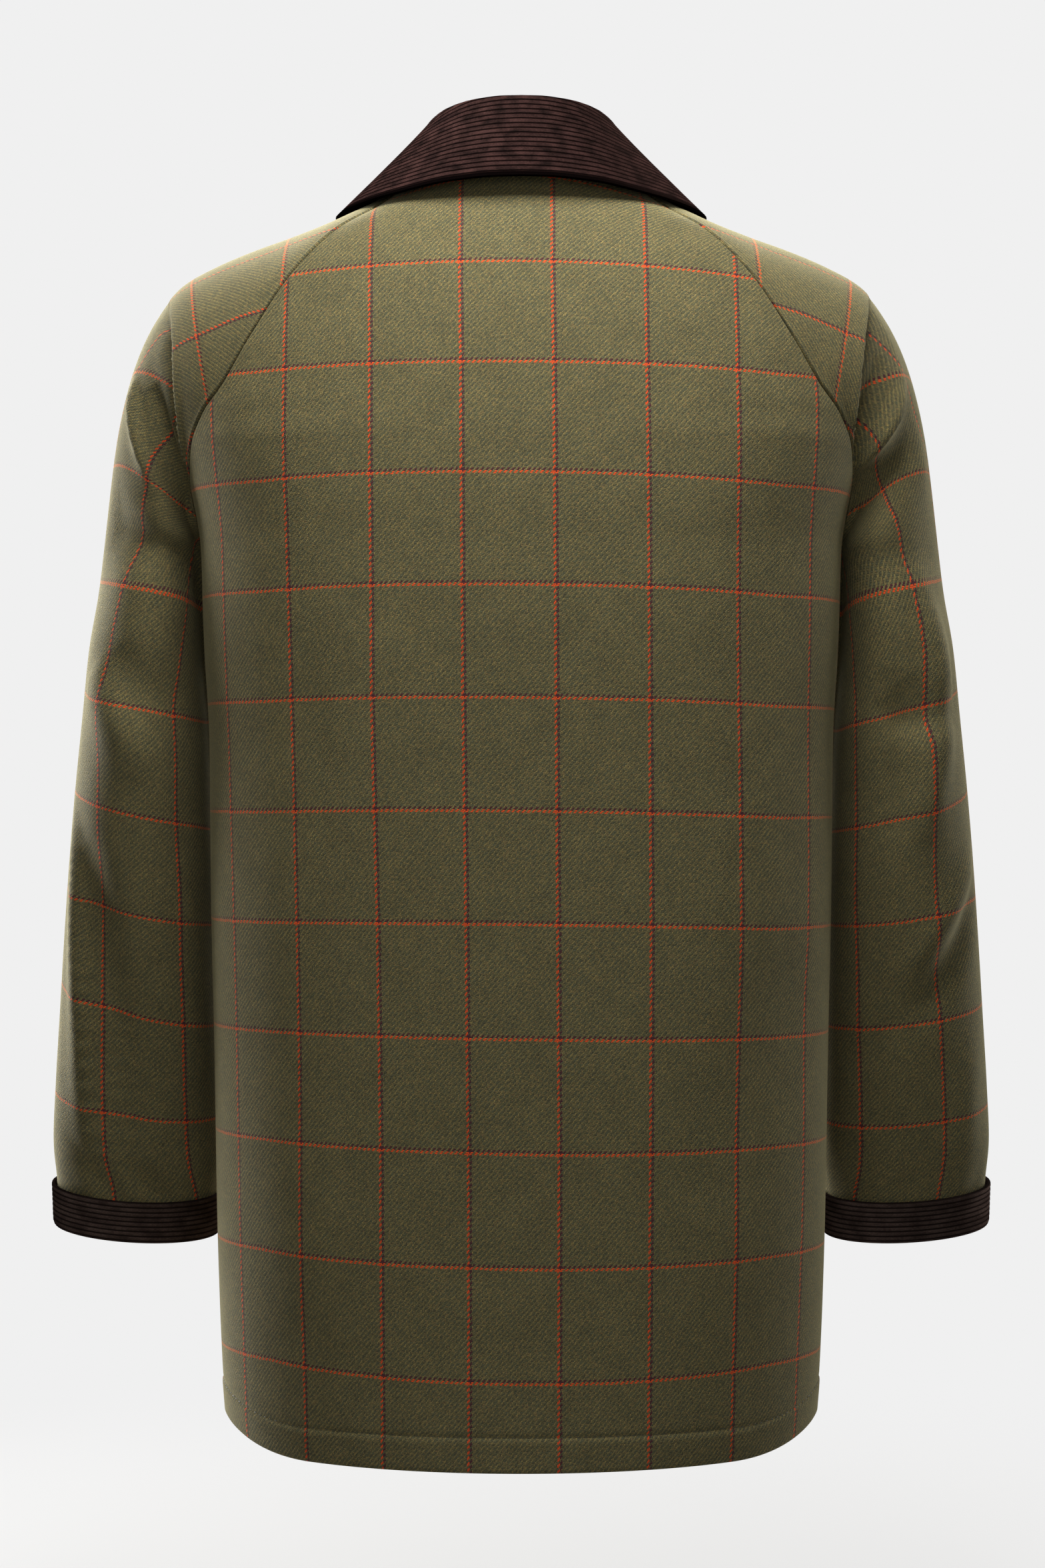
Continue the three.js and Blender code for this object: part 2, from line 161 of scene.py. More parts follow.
rim = [(FLOOR_RADIUS * math.cos(a), FLOOR_RADIUS * math.sin(a), FLOOR_LEVEL)
       for a in np.linspace(0, 2 * math.pi, FLOOR_SIDES + 1)[:-1]]
floor_mesh = bpy.data.meshes.new("floor")
floor_mesh.from_pydata(rim, [], [list(range(len(rim)))])
floor_mesh.materials.append(floor_paint)
floor = bpy.data.objects.new("floor", floor_mesh)
scene.collection.objects.link(floor)

# ---- Back -----------------------------------------------------------------------------------
# The back panel, cut in one piece with no centre seam: raglan armholes from the neck to under
# the arms, straight sides, and a hem that drops between them. Brushed wool tweed, turned up and
# sewn down at the hem.

MM = 0.001
JOIN = 1e-6  # points nearer than this are one
TWEED = 2.0  # thickness of the cloth with its turnings
GRID = 4.0  # size of the mesh's squares
FINE_GRID = 1.3  # along the raglan seam where the sleeve's tuck meets it
TUCK_ROWS = (232, 300)  # how far down the raglan seam that is
RAGLAN_LENGTH = 349
SEAM_DIP = (1.0, 0.9)  # how deep a seam sinks, and how far on either side
EDGE_ROUND = (0.9, 0.7)  # how deep a cloth's edge rounds off, and over how far
HEM_TURN = 23.0  # depth of the turned-up hem
HEM_THICK = 0.7  # how far its second layer lifts the face
HEM_SINK = (0.6, 1.2)  # how deep its stitches sink, and how far on either side
EDGE_STEPS = [0.0, 0.7, 1.6, 2.8, 4.4]  # finer columns next to a seam
HEM_STEPS = [0.0, 0.6, 1.6, 3.2, 6, 10, 14, 18, 20.5, 22, 23, 24, 25.5, 28]
UNDERARM = 10  # row of the tables below that is level with the underarm

# The raglan seam from the neck to the underarm: seam x y z, then the middle of the panel y z,
# how square the section is, and the angle and swell of the sleeve beside it
BACK_SEAM = [
    [70, 38, -16, 74, 0, 2.0, 60, 41],
    [94, 66, -39, 90, -22, 2.1, 70, 70],
    [123, 82, -58.5, 102, -46, 2.2, 76, 85],
    [152, 91, -89.5, 117, -82, 2.3, 82, 93],
    [177, 92, -127.5, 128, -123, 2.4, 86, 96],
    [196.5, 86, -159.5, 134, -157, 2.5, 92, 93],
    [210.7, 76, -178, 137, -177, 2.5, 98, 87],
    [219.5, 60, -198, 139.5, -198, 2.6, 106, 78],
    [222, 38, -220, 141.5, -220, 2.6, 118, 66],
    [219.5, 15, -243, 143, -243, 2.6, 140, 56],
    [217, 0, -262, 143.5, -262, 2.6, 180, 50],
]
FRONT_SEAM = [
    [66, -42, -38, -75, -70, 2.0, 62, -42],
    [86, -68, -62, -90, -86, 2.1, 72, -68],
    [110, -88, -87, -102, -106, 2.2, 78, -86],
    [135, -99, -114, -114, -128, 2.3, 84, -96],
    [160, -105, -142, -123, -152, 2.4, 90, -100],
    [180, -105, -168, -130, -176, 2.4, 96, -99],
    [196, -99, -191, -134, -197, 2.5, 102, -95],
    [208, -86, -211, -137, -215, 2.5, 112, -88],
    [215.5, -64, -230, -139, -232, 2.6, 124, -84],
    [218.5, -34, -248, -140, -248, 2.6, 146, -86],
    [217, 0, -262, -140.5, -262, 2.6, 180, -98],
]
# Below the underarm: height, half width, back, front, how square
BODY = [
    [-320, 215, 145, -142, 2.6],
    [-400, 211, 144, -141, 2.6],
    [-500, 210, 143, -139, 2.6],
    [-600, 208, 142, -137, 2.5],
    [-700, 206.5, 140, -135, 2.4],
    [-790, 204.5, 138.5, -133, 2.2],
    [-840, 202.5, 137.5, -132, 2.1],
    [-863, 201, 137, -131, 2.0],
]
# The hem rises at the side seams: how far, how far from them, and over what depth
HEM_RISE = 17
HEM_REACH = 100
HEM_BLEND = (700, 863)
DENSE = 401  # points of a section before it is spaced out
PATH_STEPS = 2001  # points of a long seam's path


def through(rows, at):
    """A smooth curve through the rows of a table, with no overshoot, at row numbers."""
    rows = np.asarray(rows, float)
    step = np.diff(rows, axis=0)
    slope = np.zeros_like(rows)
    product = step[:-1] * step[1:]
    total = np.where(product > 0, step[:-1] + step[1:], 1.0)
    slope[1:-1] = np.where(product > 0, 2 * product / total, 0)
    slope[0] = step[0]
    slope[-1] = step[-1]
    low = np.clip(np.floor(at).astype(int), 0, len(rows) - 2)
    t = (at - low)[:, None]
    a, b, m, n = rows[low], rows[low + 1], slope[low], slope[low + 1]
    return (a * (2 * t**3 - 3 * t**2 + 1) + m * (t**3 - 2 * t**2 + t)
            + b * (3 * t**2 - 2 * t**3) + n * (t**3 - t**2))


def run_along(path):
    """Distance along a path, at each of its points."""
    return np.concatenate([[0], np.cumsum(np.linalg.norm(np.diff(path, axis=0), axis=1))])


def row_numbers(points, steps):
    """Row numbers at given distances along the curve through the first three columns."""
    fine = np.linspace(0, len(points) - 1, PATH_STEPS)
    path = through(points, fine)[:, :3]
    run = run_along(path)
    return np.interp(steps(run[-1]), run, fine)


def even_steps(length):
    """Distances down to a length, a square of the mesh apart."""
    return np.linspace(0, length, max(2, round(length / GRID)) + 1)


def hem_steps(length):
    """Even steps down to the hem, where the rows follow the turned edge and its stitches."""
    fine = length - np.array(HEM_STEPS[::-1])
    return np.concatenate([np.linspace(0, fine[0], round(fine[0] / GRID))[:-1], fine])


def respaced(points, columns, edges=(True, True)):
    """Each row of a grid of points, with columns at even distances and finer ones at seams."""
    out = np.empty((len(points), columns, 3))
    fine = np.array(EDGE_STEPS)
    for row, target in zip(points, out):
        run = run_along(row)
        start = fine if edges[0] else fine[:1]
        end = run[-1] - (fine[::-1] if edges[1] else fine[:1])
        middle = np.linspace(start[-1], end[0], columns - len(start) - len(end) + 2)[1:-1]
        at = np.concatenate([start, middle, end])
        for axis in range(3):
            target[:, axis] = np.interp(at, run, row[:, axis])
    return out


def through_table(rows, at):
    """The columns of a table, read off at values of its first one."""
    columns = np.array(rows, float).T
    return [np.interp(at, columns[0], column) for column in columns[1:]]


def smoothstep(value, low, high):
    """Eases from 0 at the low value to 1 at the high one."""
    t = np.clip((value - low) / (high - low), 0, 1)
    return t * t * (3 - 2 * t)


def body_rows(seams, side):
    """Rows of the body's sections: seam x y z, middle y z, how square. The side is the column of
    BODY that holds the panel's middle."""
    upper = [row[:6] for row in seams]
    lower = [[row[1], 0, row[0], row[side], row[0], row[4]] for row in BODY]
    return upper + lower


def body_points(rows, shares):
    """Points of level squared ovals through the seam (share 1) and the middle (share 0)."""
    x, y, z, mid_y, mid_z, corner = (column[:, None] for column in rows.T)
    turn = np.arccos(np.clip(y / mid_y, 0, 1) ** (corner / 2))
    reach = x / np.sin(turn) ** (2 / corner)
    share = shares(turn, reach, corner)
    angle = turn * np.abs(share)
    px = np.sign(share) * reach * np.sin(angle) ** (2 / corner)
    py = mid_y * np.clip(np.cos(angle), 0, 1) ** (2 / corner)
    pz = z + (mid_z - z) * (1 - (px / x) ** 2)
    below = smoothstep(-z, *HEM_BLEND) * HEM_RISE
    pz = pz + below * np.maximum(0, 1 - (py / HEM_REACH) ** 2) ** 2
    return np.stack([px, py, pz + 0 * px], axis=-1)


def raglan_steps(length):
    """Distances down the raglan seam, closer together beside the tuck."""
    start, end = (length * stop / RAGLAN_LENGTH for stop in TUCK_ROWS)
    return np.concatenate([np.linspace(0, start, round(start / GRID))[:-1],
                           np.linspace(start, end, round((end - start) / FINE_GRID))[:-1],
                           np.linspace(end, length, round((length - end) / GRID))])


def raglan_rows(seams):
    """Row numbers from the neck to the underarm that the body and the sleeve share."""
    return row_numbers([row[:3] for row in seams], raglan_steps)


def body_row_numbers(seams, side):
    """Row numbers of a body panel from the neck to the hem."""
    lower = body_rows(seams, side)[UNDERARM:]
    below = row_numbers([[0, 0, row[2]] for row in lower], hem_steps)
    return np.concatenate([raglan_rows(seams)[:-1], UNDERARM + below])


def way_out(grid):
    """Unit normals of a grid of points."""
    across = np.gradient(grid, axis=1)
    down = np.gradient(grid, axis=0)
    normal = np.cross(across, down)
    return normal / np.maximum(np.linalg.norm(normal, axis=-1, keepdims=True), 1e-9)


def mirrored(grid):
    """The same piece for the wearer's right."""
    return grid[:, ::-1] * np.array([-1, 1, 1])


def edge_runs(grid):
    """Distance along each row of a grid from its first column and from its last one."""
    steps = np.linalg.norm(np.diff(grid, axis=1), axis=-1)
    run = np.concatenate([np.zeros((len(grid), 1)), np.cumsum(steps, axis=1)], axis=1)
    return run, run[:, -1:] - run


def bell(distance, width):
    """A soft bump: 1 in its middle, next to nothing two widths away."""
    return np.exp(-(distance / width) ** 2)


def seam_dip(run):
    """How far the cloth sinks at a distance from its seam."""
    return -SEAM_DIP[0] * bell(run, SEAM_DIP[1])


def edge_round(run):
    """How far the cloth drops at a distance from its finished edge."""
    return -EDGE_ROUND[0] * bell(run, EDGE_ROUND[1])


BOW_STEPS = 25
BOW_FADE = (0.05, 0.9, 0.8)  # where on its sine a crease starts, how far it goes, how blunt it is
CREASE_SIDES = (-20, 20)  # one side's width passes into the other's between these


def creased(across, down, creases):
    """Height of soft ridges and troughs, each along a bow through three places on the cloth, with
    its own width on either side of the bow."""
    total = np.zeros(down.shape)
    u = np.linspace(0, 1, BOW_STEPS)[:, None]
    for height, width_left, width_right, *stops in creases:
        start, middle, end = (np.array(stop, float) for stop in stops)
        control = 2 * middle - (start + end) / 2
        path = (1 - u) ** 2 * start + 2 * u * (1 - u) * control + u**2 * end
        way = np.gradient(path, axis=0)
        gap_across = across[..., None] - path[:, 0]
        gap_down = down[..., None] - path[:, 1]
        gap = np.hypot(gap_across, gap_down)
        near = gap.argmin(axis=-1)
        pick = np.indices(near.shape)
        side = (gap_across * way[:, 1] - gap_down * way[:, 0])[pick[0], pick[1], near]
        width = width_right + (width_left - width_right) * smoothstep(side, *CREASE_SIDES)
        fall = np.sin(np.pi * (BOW_FADE[0] + BOW_FADE[1] * u[:, 0])) ** BOW_FADE[2]
        total += height * fall[near] * bell(gap.min(axis=-1), width)
    return total


def closed_wall(name, outer, inner, uv, material, ring=False):
    """A closed wall between two grids of points in millimetres, with its cloth's own map. The
    columns of a ring meet: its last one lies on its first."""
    rows, columns = outer.shape[:2]
    points = np.concatenate([outer.reshape(-1, 3), inner.reshape(-1, 3)]) * MM
    index = np.arange(rows * columns).reshape(rows, columns)
    a, b, c, d = index[:-1, :-1], index[:-1, 1:], index[1:, 1:], index[1:, :-1]
    face = np.stack([a, b, c, d], axis=-1).reshape(-1, 4)
    if ring:
        loops = [index[0], index[-1, ::-1]]
        loop, ahead = (np.concatenate([row[i:len(row) - 1 + i] for row in loops]) for i in (0, 1))
    else:
        loop = np.concatenate([index[0], index[1:, -1], index[-1, -2::-1], index[-2:0:-1, 0]])
        ahead = np.roll(loop, -1)
    under = rows * columns
    rim_faces = np.stack([ahead, loop, loop + under, ahead + under], axis=-1)
    faces = np.concatenate([face, face[:, ::-1] + under, rim_faces])
    mesh = bpy.data.meshes.new(name)
    mesh.from_pydata(points.tolist(), [], faces.tolist())
    smooth = np.ones(len(faces), bool)
    smooth[2 * len(face):] = False
    mesh.polygons.foreach_set("use_smooth", smooth)
    layer = mesh.uv_layers.new(name="grain")
    corner = np.empty(len(mesh.loops), np.int32)
    mesh.loops.foreach_get("vertex_index", corner)
    flat = np.tile(uv.reshape(-1, 2), (2, 1)) * MM
    layer.data.foreach_set("uv", flat[corner].ravel())
    mesh.materials.append(material)
    if ring:
        joined = bmesh.new()
        joined.from_mesh(mesh)
        bmesh.ops.remove_doubles(joined, verts=joined.verts, dist=JOIN)
        joined.to_mesh(mesh)
        joined.free()
    mesh.update()
    thing = bpy.data.objects.new(name, mesh)
    scene.collection.objects.link(thing)
    return thing


# Brushed wool twill: two and two, woven in a melange of olive yarns, with a windowpane of two
# orange-red threads beside two plum ones each way
CHECK = (59.3, 73.2)  # width and height of a pane
CHECK_THREADS = (72, 80)  # warp and weft threads to a pane
# The last colour, a pale olive, is painted sheen where the cloth is seen edge on
CLOTH_COLOURS = {"shade": "#474230", "teal": "#50523f", "moss": "#5c5739", "brown": "#736041",
                 "olive": "#686041", "straw": "#726944", "ochre": "#887748",
                 "orange": "#cd4e24", "plum": "#4a2a2d", "painted_sheen": "#a69d70"}
# The colours of each ground yarn's melange, and where in it they lie
YARNS = {"warp": [(0.25, "moss"), (0.42, "olive"), (0.6, "straw"), (0.8, "ochre")],
         "weft": [(0.22, "shade"), (0.45, "teal"), (0.6, "moss"), (0.8, "brown")]}
STRAY = (260.0, 1.1)  # the threads' unevenness: its waves to the metre, and how far they stray
FLECKS = 1.7  # flecks of fibre to a thread, fewer than real ones so that they show
CLOUDS = 0.035  # slow changes of shade to a thread, so one in about 29 threads
PAINTED_SHEEN_SHARE = 0.5  # how much the colour is paled towards a light olive where the cloth is seen edge on: painted sheen


def tweed_material(name):
    """Woollen cloth, loom woven and lightly brushed: rough, with the soft pale bloom of its nap,
    which is partly its sheen and partly painted sheen where it is seen edge on, painted shade in the
    hollows between its floats, and the twill's ridges raised enough to catch light from the side."""
    material, tree = blank_material(name)
    # Hand and loom leave the threads a little uneven
    even_grain = add_node(tree, "ShaderNodeUVMap", uv_map="grain")
    uneven = add_node(tree, "ShaderNodeTexNoise",
                      {"Vector": even_grain, "Scale": STRAY[0], "Detail": 1.0})
    shift = add_node(tree, "ShaderNodeVectorMath",
                     {0: uneven.outputs["Color"], 1: (0.5, 0.5, 0.5)}, operation="SUBTRACT")
    grain = add_node(tree, "ShaderNodeVectorMath",
                     {0: shift, 1: (STRAY[1] * MM, STRAY[1] * MM, 0.0), 2: even_grain},
                     operation="MULTIPLY_ADD")
    axes = add_node(tree, "ShaderNodeSeparateXYZ", {0: grain})
    end = add_node(tree, "ShaderNodeMath",
                   {0: axes.outputs[0], 1: CHECK_THREADS[0] / (CHECK[0] * MM)},
                   operation="MULTIPLY")
    pick = add_node(tree, "ShaderNodeMath",
                    {0: axes.outputs[1], 1: CHECK_THREADS[1] / (CHECK[1] * MM)},
                    operation="MULTIPLY")
    end_number = add_node(tree, "ShaderNodeMath", {0: end}, operation="FLOOR")
    pick_number = add_node(tree, "ShaderNodeMath", {0: pick}, operation="FLOOR")
    end_place = add_node(tree, "ShaderNodeMath", {0: end}, operation="FRACT")
    pick_place = add_node(tree, "ShaderNodeMath", {0: pick}, operation="FRACT")
    # Two up, two down, each pick one thread further on: 0 and 1 show the warp, 2 and 3 the weft
    apart = add_node(tree, "ShaderNodeMath", {0: end_number, 1: pick_number},
                     operation="SUBTRACT")
    step = add_node(tree, "ShaderNodeMath", {0: apart, 1: 4.0}, operation="FLOORED_MODULO")
    warp_up = add_node(tree, "ShaderNodeMath", {0: step, 1: 1.5}, operation="LESS_THAN")
    across_end = add_node(tree, "ShaderNodeMath", {0: end_place, 1: 0.5}, operation="SUBTRACT")
    across_pick = add_node(tree, "ShaderNodeMath", {0: pick_place, 1: 0.5}, operation="SUBTRACT")
    # Position along a float of two threads, from 0 to 1
    warp_step = add_node(tree, "ShaderNodeMath", {0: 1.0, 1: step}, operation="SUBTRACT")
    weft_step = add_node(tree, "ShaderNodeMath", {0: step, 1: 2.0}, operation="SUBTRACT")
    warp_way = add_node(tree, "ShaderNodeMath", {0: pick_place, 1: warp_step}, operation="ADD")
    weft_way = add_node(tree, "ShaderNodeMath", {0: end_place, 1: weft_step}, operation="ADD")
    along_warp = add_node(tree, "ShaderNodeMath", {0: warp_way, 1: 0.5}, operation="MULTIPLY")
    along_weft = add_node(tree, "ShaderNodeMath", {0: weft_way, 1: 0.5}, operation="MULTIPLY")
    along = add_node(tree, "ShaderNodeMix", {0: warp_up, 2: along_weft, 3: along_warp})
    across = add_node(tree, "ShaderNodeMix", {0: warp_up, 2: across_pick, 3: across_end})
    # Each float arches out of the cloth, and its yarn is round
    half_turn = add_node(tree, "ShaderNodeMath", {0: along, 1: math.pi}, operation="MULTIPLY")
    arch = add_node(tree, "ShaderNodeMath", {0: half_turn}, operation="SINE")
    arch_share = add_node(tree, "ShaderNodeMath", {0: arch, 1: 0.55}, operation="MULTIPLY")
    raised = add_node(tree, "ShaderNodeMath", {0: arch_share, 1: 0.45}, operation="ADD")
    squared = add_node(tree, "ShaderNodeMath", {0: across, 1: across}, operation="MULTIPLY")
    sides = add_node(tree, "ShaderNodeMath", {0: squared, 1: 3.0}, operation="MULTIPLY")
    round_yarn = add_node(tree, "ShaderNodeMath", {0: 1.0, 1: sides}, operation="SUBTRACT")
    height = add_node(tree, "ShaderNodeMath", {0: raised, 1: round_yarn}, operation="MULTIPLY")

    # Melange: each float differs a little, and fibres of other colours run through it
    float_place = add_node(tree, "ShaderNodeCombineXYZ",
                           {0: end_number, 1: pick_number, 2: warp_up})
    each = add_node(tree, "ShaderNodeTexWhiteNoise", {0: float_place})
    fibre_map = add_node(tree, "ShaderNodeCombineXYZ", {0: end, 1: pick})
    fibre = add_node(tree, "ShaderNodeTexNoise",
                     {"Vector": fibre_map, "Scale": FLECKS, "Detail": 3.0, "Roughness": 0.7})
    broad = add_node(tree, "ShaderNodeTexNoise",
                     {"Vector": fibre_map, "Scale": CLOUDS, "Detail": 2.0})
    each_half = add_node(tree, "ShaderNodeMath", {0: each.outputs["Value"], 1: 0.5},
                         operation="MULTIPLY")
    fibre_half = add_node(tree, "ShaderNodeMath", {0: fibre, 1: 0.5}, operation="MULTIPLY")
    mixed = add_node(tree, "ShaderNodeMath", {0: each_half, 1: fibre_half}, operation="ADD")
    # Of each pane's threads, both ways, two are orange, two plum and the others ground
    colours = {}
    for way, number, threads in (("warp", end_number, CHECK_THREADS[0]),
                                 ("weft", pick_number, CHECK_THREADS[1])):
        in_check = add_node(tree, "ShaderNodeMath", {0: number, 1: float(threads)},
                            operation="FLOORED_MODULO")
        orange = add_node(tree, "ShaderNodeMath", {0: in_check, 1: 1.5}, operation="LESS_THAN")
        coloured = add_node(tree, "ShaderNodeMath", {0: in_check, 1: 3.5}, operation="LESS_THAN")
        ground = add_node(tree, "ShaderNodeValToRGB", {0: mixed})
        stops = ground.color_ramp.elements
        stops.remove(stops[1])
        for position, colour in YARNS[way]:
            stops.new(position).color = linear(CLOTH_COLOURS[colour])
        stops[0].color = linear(CLOTH_COLOURS[YARNS[way][0][1]])
        line = add_node(tree, "ShaderNodeMix",
                        {0: orange, 6: linear(CLOTH_COLOURS["plum"]),
                         7: linear(CLOTH_COLOURS["orange"])}, data_type="RGBA")
        made = add_node(tree, "ShaderNodeMix",
                        {0: coloured, 6: ground, 7: line.outputs[2]}, data_type="RGBA")
        colours[way] = made.outputs[2]
    thread_colour = add_node(tree, "ShaderNodeMix",
                             {0: warp_up, 6: colours["weft"], 7: colours["warp"]},
                             data_type="RGBA")
    # Painted shade: the colour is darkened in the hollows between the floats and a little lightened
    # on their crowns; the broad random tone is the cloth's own
    painted_hollow_shade = add_node(tree, "ShaderNodeMapRange",
                      {"Value": height, "From Min": 0.1, "From Max": 0.85,
                       "To Min": 0.5, "To Max": 1.12})
    shade = add_node(tree, "ShaderNodeMapRange",
                     {"Value": broad, "From Min": 0.3, "From Max": 0.7,
                      "To Min": 0.93, "To Max": 1.07})
    depth = add_node(tree, "ShaderNodeMath", {0: painted_hollow_shade, 1: shade}, operation="MULTIPLY")
    shaded = add_node(tree, "ShaderNodeVectorMath",
                      {0: thread_colour.outputs[2], "Scale": depth}, operation="SCALE")
    # Painted sheen: the colour is paled towards a light olive where the cloth is seen nearly edge
    # on, in place of light caught by fibres that stand off it
    edge_on = add_node(tree, "ShaderNodeLayerWeight", {"Blend": 0.5})
    grazing = add_node(tree, "ShaderNodeMath", {0: edge_on.outputs["Facing"], 1: 5.0},
                       operation="POWER")
    painted_sheen = add_node(tree, "ShaderNodeMath", {0: grazing, 1: PAINTED_SHEEN_SHARE}, operation="MULTIPLY")
    sheen_painted_colour = add_node(tree, "ShaderNodeMix",
                     {0: painted_sheen, 6: shaded, 7: linear(CLOTH_COLOURS["painted_sheen"])}, data_type="RGBA")
    fibre_relief = add_node(tree, "ShaderNodeMath", {0: fibre, 1: 0.8}, operation="MULTIPLY")
    relief = add_node(tree, "ShaderNodeMath", {0: height, 1: fibre_relief}, operation="ADD")
    bump = add_node(tree, "ShaderNodeBump",
                    {"Height": relief, "Strength": 0.55, "Distance": 0.0004})
    wool = add_node(tree, "ShaderNodeBsdfPrincipled",
                    {"Base Color": sheen_painted_colour.outputs[2], "Roughness": 0.92,
                     "Specular IOR Level": 0.2, "Sheen Weight": 0.26, "Sheen Roughness": 0.3,
                     "Sheen Tint": linear("#b8b08a"), "Normal": bump})
    add_node(tree, "ShaderNodeOutputMaterial", {"Surface": wool})
    return material


tweed = tweed_material("brushed_wool_twill")

PANE_AT = (22.2, 15.1)  # where the lines of the check cross, from the centre back and the neck
CENTRE_STEPS = 721

# Down the centre back: depth and height of its line, and the length of cloth from the neck
centre_rows = [row[3:5] for row in body_rows(BACK_SEAM, 2)]
centre_line = through(centre_rows, np.linspace(0, len(centre_rows) - 1, CENTRE_STEPS))
centre_run = run_along(centre_line)

# How far the back's threads have settled from level and plumb: at places down the back, how much
# lower they lie 125 mm to the left, in the middle and 120 mm to the right, then how far right
BACK_SET = [
    [31, 58, 14.5, 64, -3.2, -3.5, -0.5],
    [75, 17, 9.4, 19, -3.2, -3.5, -0.8],
    [95, 12, 8.1, 14, -3.2, -3.5, -0.8],
    [161, 4.9, 3.5, 6.0, -2.2, -2.6, -1.0],
    [235, 3.7, 2.3, 5.5, -1.8, -2.0, -0.2],
    [381, 0.7, 0.2, 2.9, 0.2, -1.0, 0.7],
    [528, -1.8, -1.4, 1.3, 5.0, 0.3, 2.3],
    [674, -4.3, -0.8, 0.0, 6.8, 1.4, 1.4],
    [820, -4.0, 0.0, -1.6, 7.0, 1.5, 0.4],
]
SET_PLACES = (-125.0, 120.0, 175.0)  # the places on either side, and how far out the bow goes on


def settled(across, down):
    """Threads of the back where they really run: each row of BACK_SET bent through its places."""
    left, right, far = SET_PLACES
    a = np.clip(across, -far, far)
    shares = [a * (a - right) / (left * (left - right)), (a - left) * (a - right) / (left * right),
              a * (a - left) / (right * (right - left))]
    columns = through_table(BACK_SET, down)
    lower = sum(share * column for share, column in zip(shares, columns[:3]))
    right_way = sum(share * column for share, column in zip(shares, columns[3:]))
    return across - right_way, down - lower


def body_grain(grid):
    """Threads of a body panel: across from its middle, and down from the neck, kept level."""
    flat = np.linalg.norm(np.diff(grid[..., :2], axis=1), axis=-1)
    run = np.concatenate([np.zeros((len(grid), 1)), np.cumsum(flat, axis=1)], axis=1)
    start = []
    for row, distance in zip(grid, run):
        order = np.argsort(row[:, 0])
        start.append(np.interp(0, row[order, 0], distance[order]))
    down = np.interp(-grid[..., 2], -centre_line[:, 1], centre_run)
    return np.array(start)[:, None] - run, down


def hem_relief(grid):
    """The turned-up hem: twice as thick below its row of stitches, which sinks in."""
    run = np.linalg.norm(np.diff(grid, axis=0), axis=-1)[::-1]
    run = np.concatenate([np.zeros((1, grid.shape[1])), np.cumsum(run, axis=0)])[::-1]
    turned = HEM_THICK * (1 - smoothstep(run, HEM_TURN - TWEED, HEM_TURN))
    return turned - HEM_SINK[0] * bell(run - HEM_TURN, HEM_SINK[1]) + edge_round(run)


def dressed(name, base, height, uv):
    """A piece of tweed: its even surface with folds and seams raised or sunk, and its wall."""
    out = way_out(base)
    outer = base + out * height[..., None]
    return closed_wall(name, outer, outer - out * TWEED, uv, tweed), outer


STITCH_SEGMENTS = 6
STITCH_RINGS = 4
STITCH_SEED = 3
PLY_SCALE = 900.0  # twists of the thread to the metre, drawn coarse enough to show
HEM_STITCH = {"Spacing": 5.2 * MM, "Length": 3.6 * MM, "Width": 0.8 * MM, "Unevenness": 0.35}
HEM_SUNK = 0.1  # how far the hem's stitches lie in the cloth
HEM_ENDS = 2  # columns at each end of the hem's row that the stitches leave free
SEAM_CALM = (0, 30)  # creases die away this near to a seam


def stitches_tree():
    """Geometry Nodes that lay small rounded stitches at even spacing along the edges of a mesh."""
    tree = bpy.data.node_groups.new("stitches", "GeometryNodeTree")
    face = tree.interface
    face.new_socket("Geometry", in_out="INPUT", socket_type="NodeSocketGeometry")
    for name in ("Spacing", "Length", "Width", "Unevenness"):
        face.new_socket(name, in_out="INPUT", socket_type="NodeSocketFloat")
    face.new_socket("Material", in_out="INPUT", socket_type="NodeSocketMaterial")
    face.new_socket("Geometry", in_out="OUTPUT", socket_type="NodeSocketGeometry")
    given = tree.nodes.new("NodeGroupInput").outputs
    path = add_node(tree, "GeometryNodeMeshToCurve", {"Mesh": given["Geometry"]})
    places = add_node(tree, "GeometryNodeCurveToPoints",
                      {"Curve": path.outputs[0], "Length": given["Spacing"]}, mode="LENGTH")
    bead = add_node(tree, "GeometryNodeMeshUVSphere",
                    {"Segments": STITCH_SEGMENTS, "Rings": STITCH_RINGS, "Radius": 0.5})
    least = add_node(tree, "ShaderNodeMath", {0: 1.0, 1: given["Unevenness"]}, operation="SUBTRACT")
    share = add_node(tree, "FunctionNodeRandomValue", {"Seed": STITCH_SEED}, data_type="FLOAT")
    tree.links.new(least.outputs[0], share.inputs[2])
    share.inputs[3].default_value = 1.0
    length = add_node(tree, "ShaderNodeMath", {0: given["Length"], 1: share.outputs[1]},
                      operation="MULTIPLY")
    size = add_node(tree, "ShaderNodeCombineXYZ",
                    {0: given["Width"], 1: given["Width"], 2: length.outputs[0]})
    laid = add_node(tree, "GeometryNodeInstanceOnPoints",
                    {"Points": places.outputs["Points"], "Instance": bead.outputs[0],
                     "Rotation": places.outputs["Rotation"], "Scale": size.outputs[0]})
    real = add_node(tree, "GeometryNodeRealizeInstances", {"Geometry": laid.outputs[0]})
    finished = add_node(tree, "GeometryNodeSetMaterial",
                        {"Geometry": real.outputs[0], "Material": given["Material"]})
    add_node(tree, "NodeGroupOutput", {0: finished.outputs[0]})
    return tree


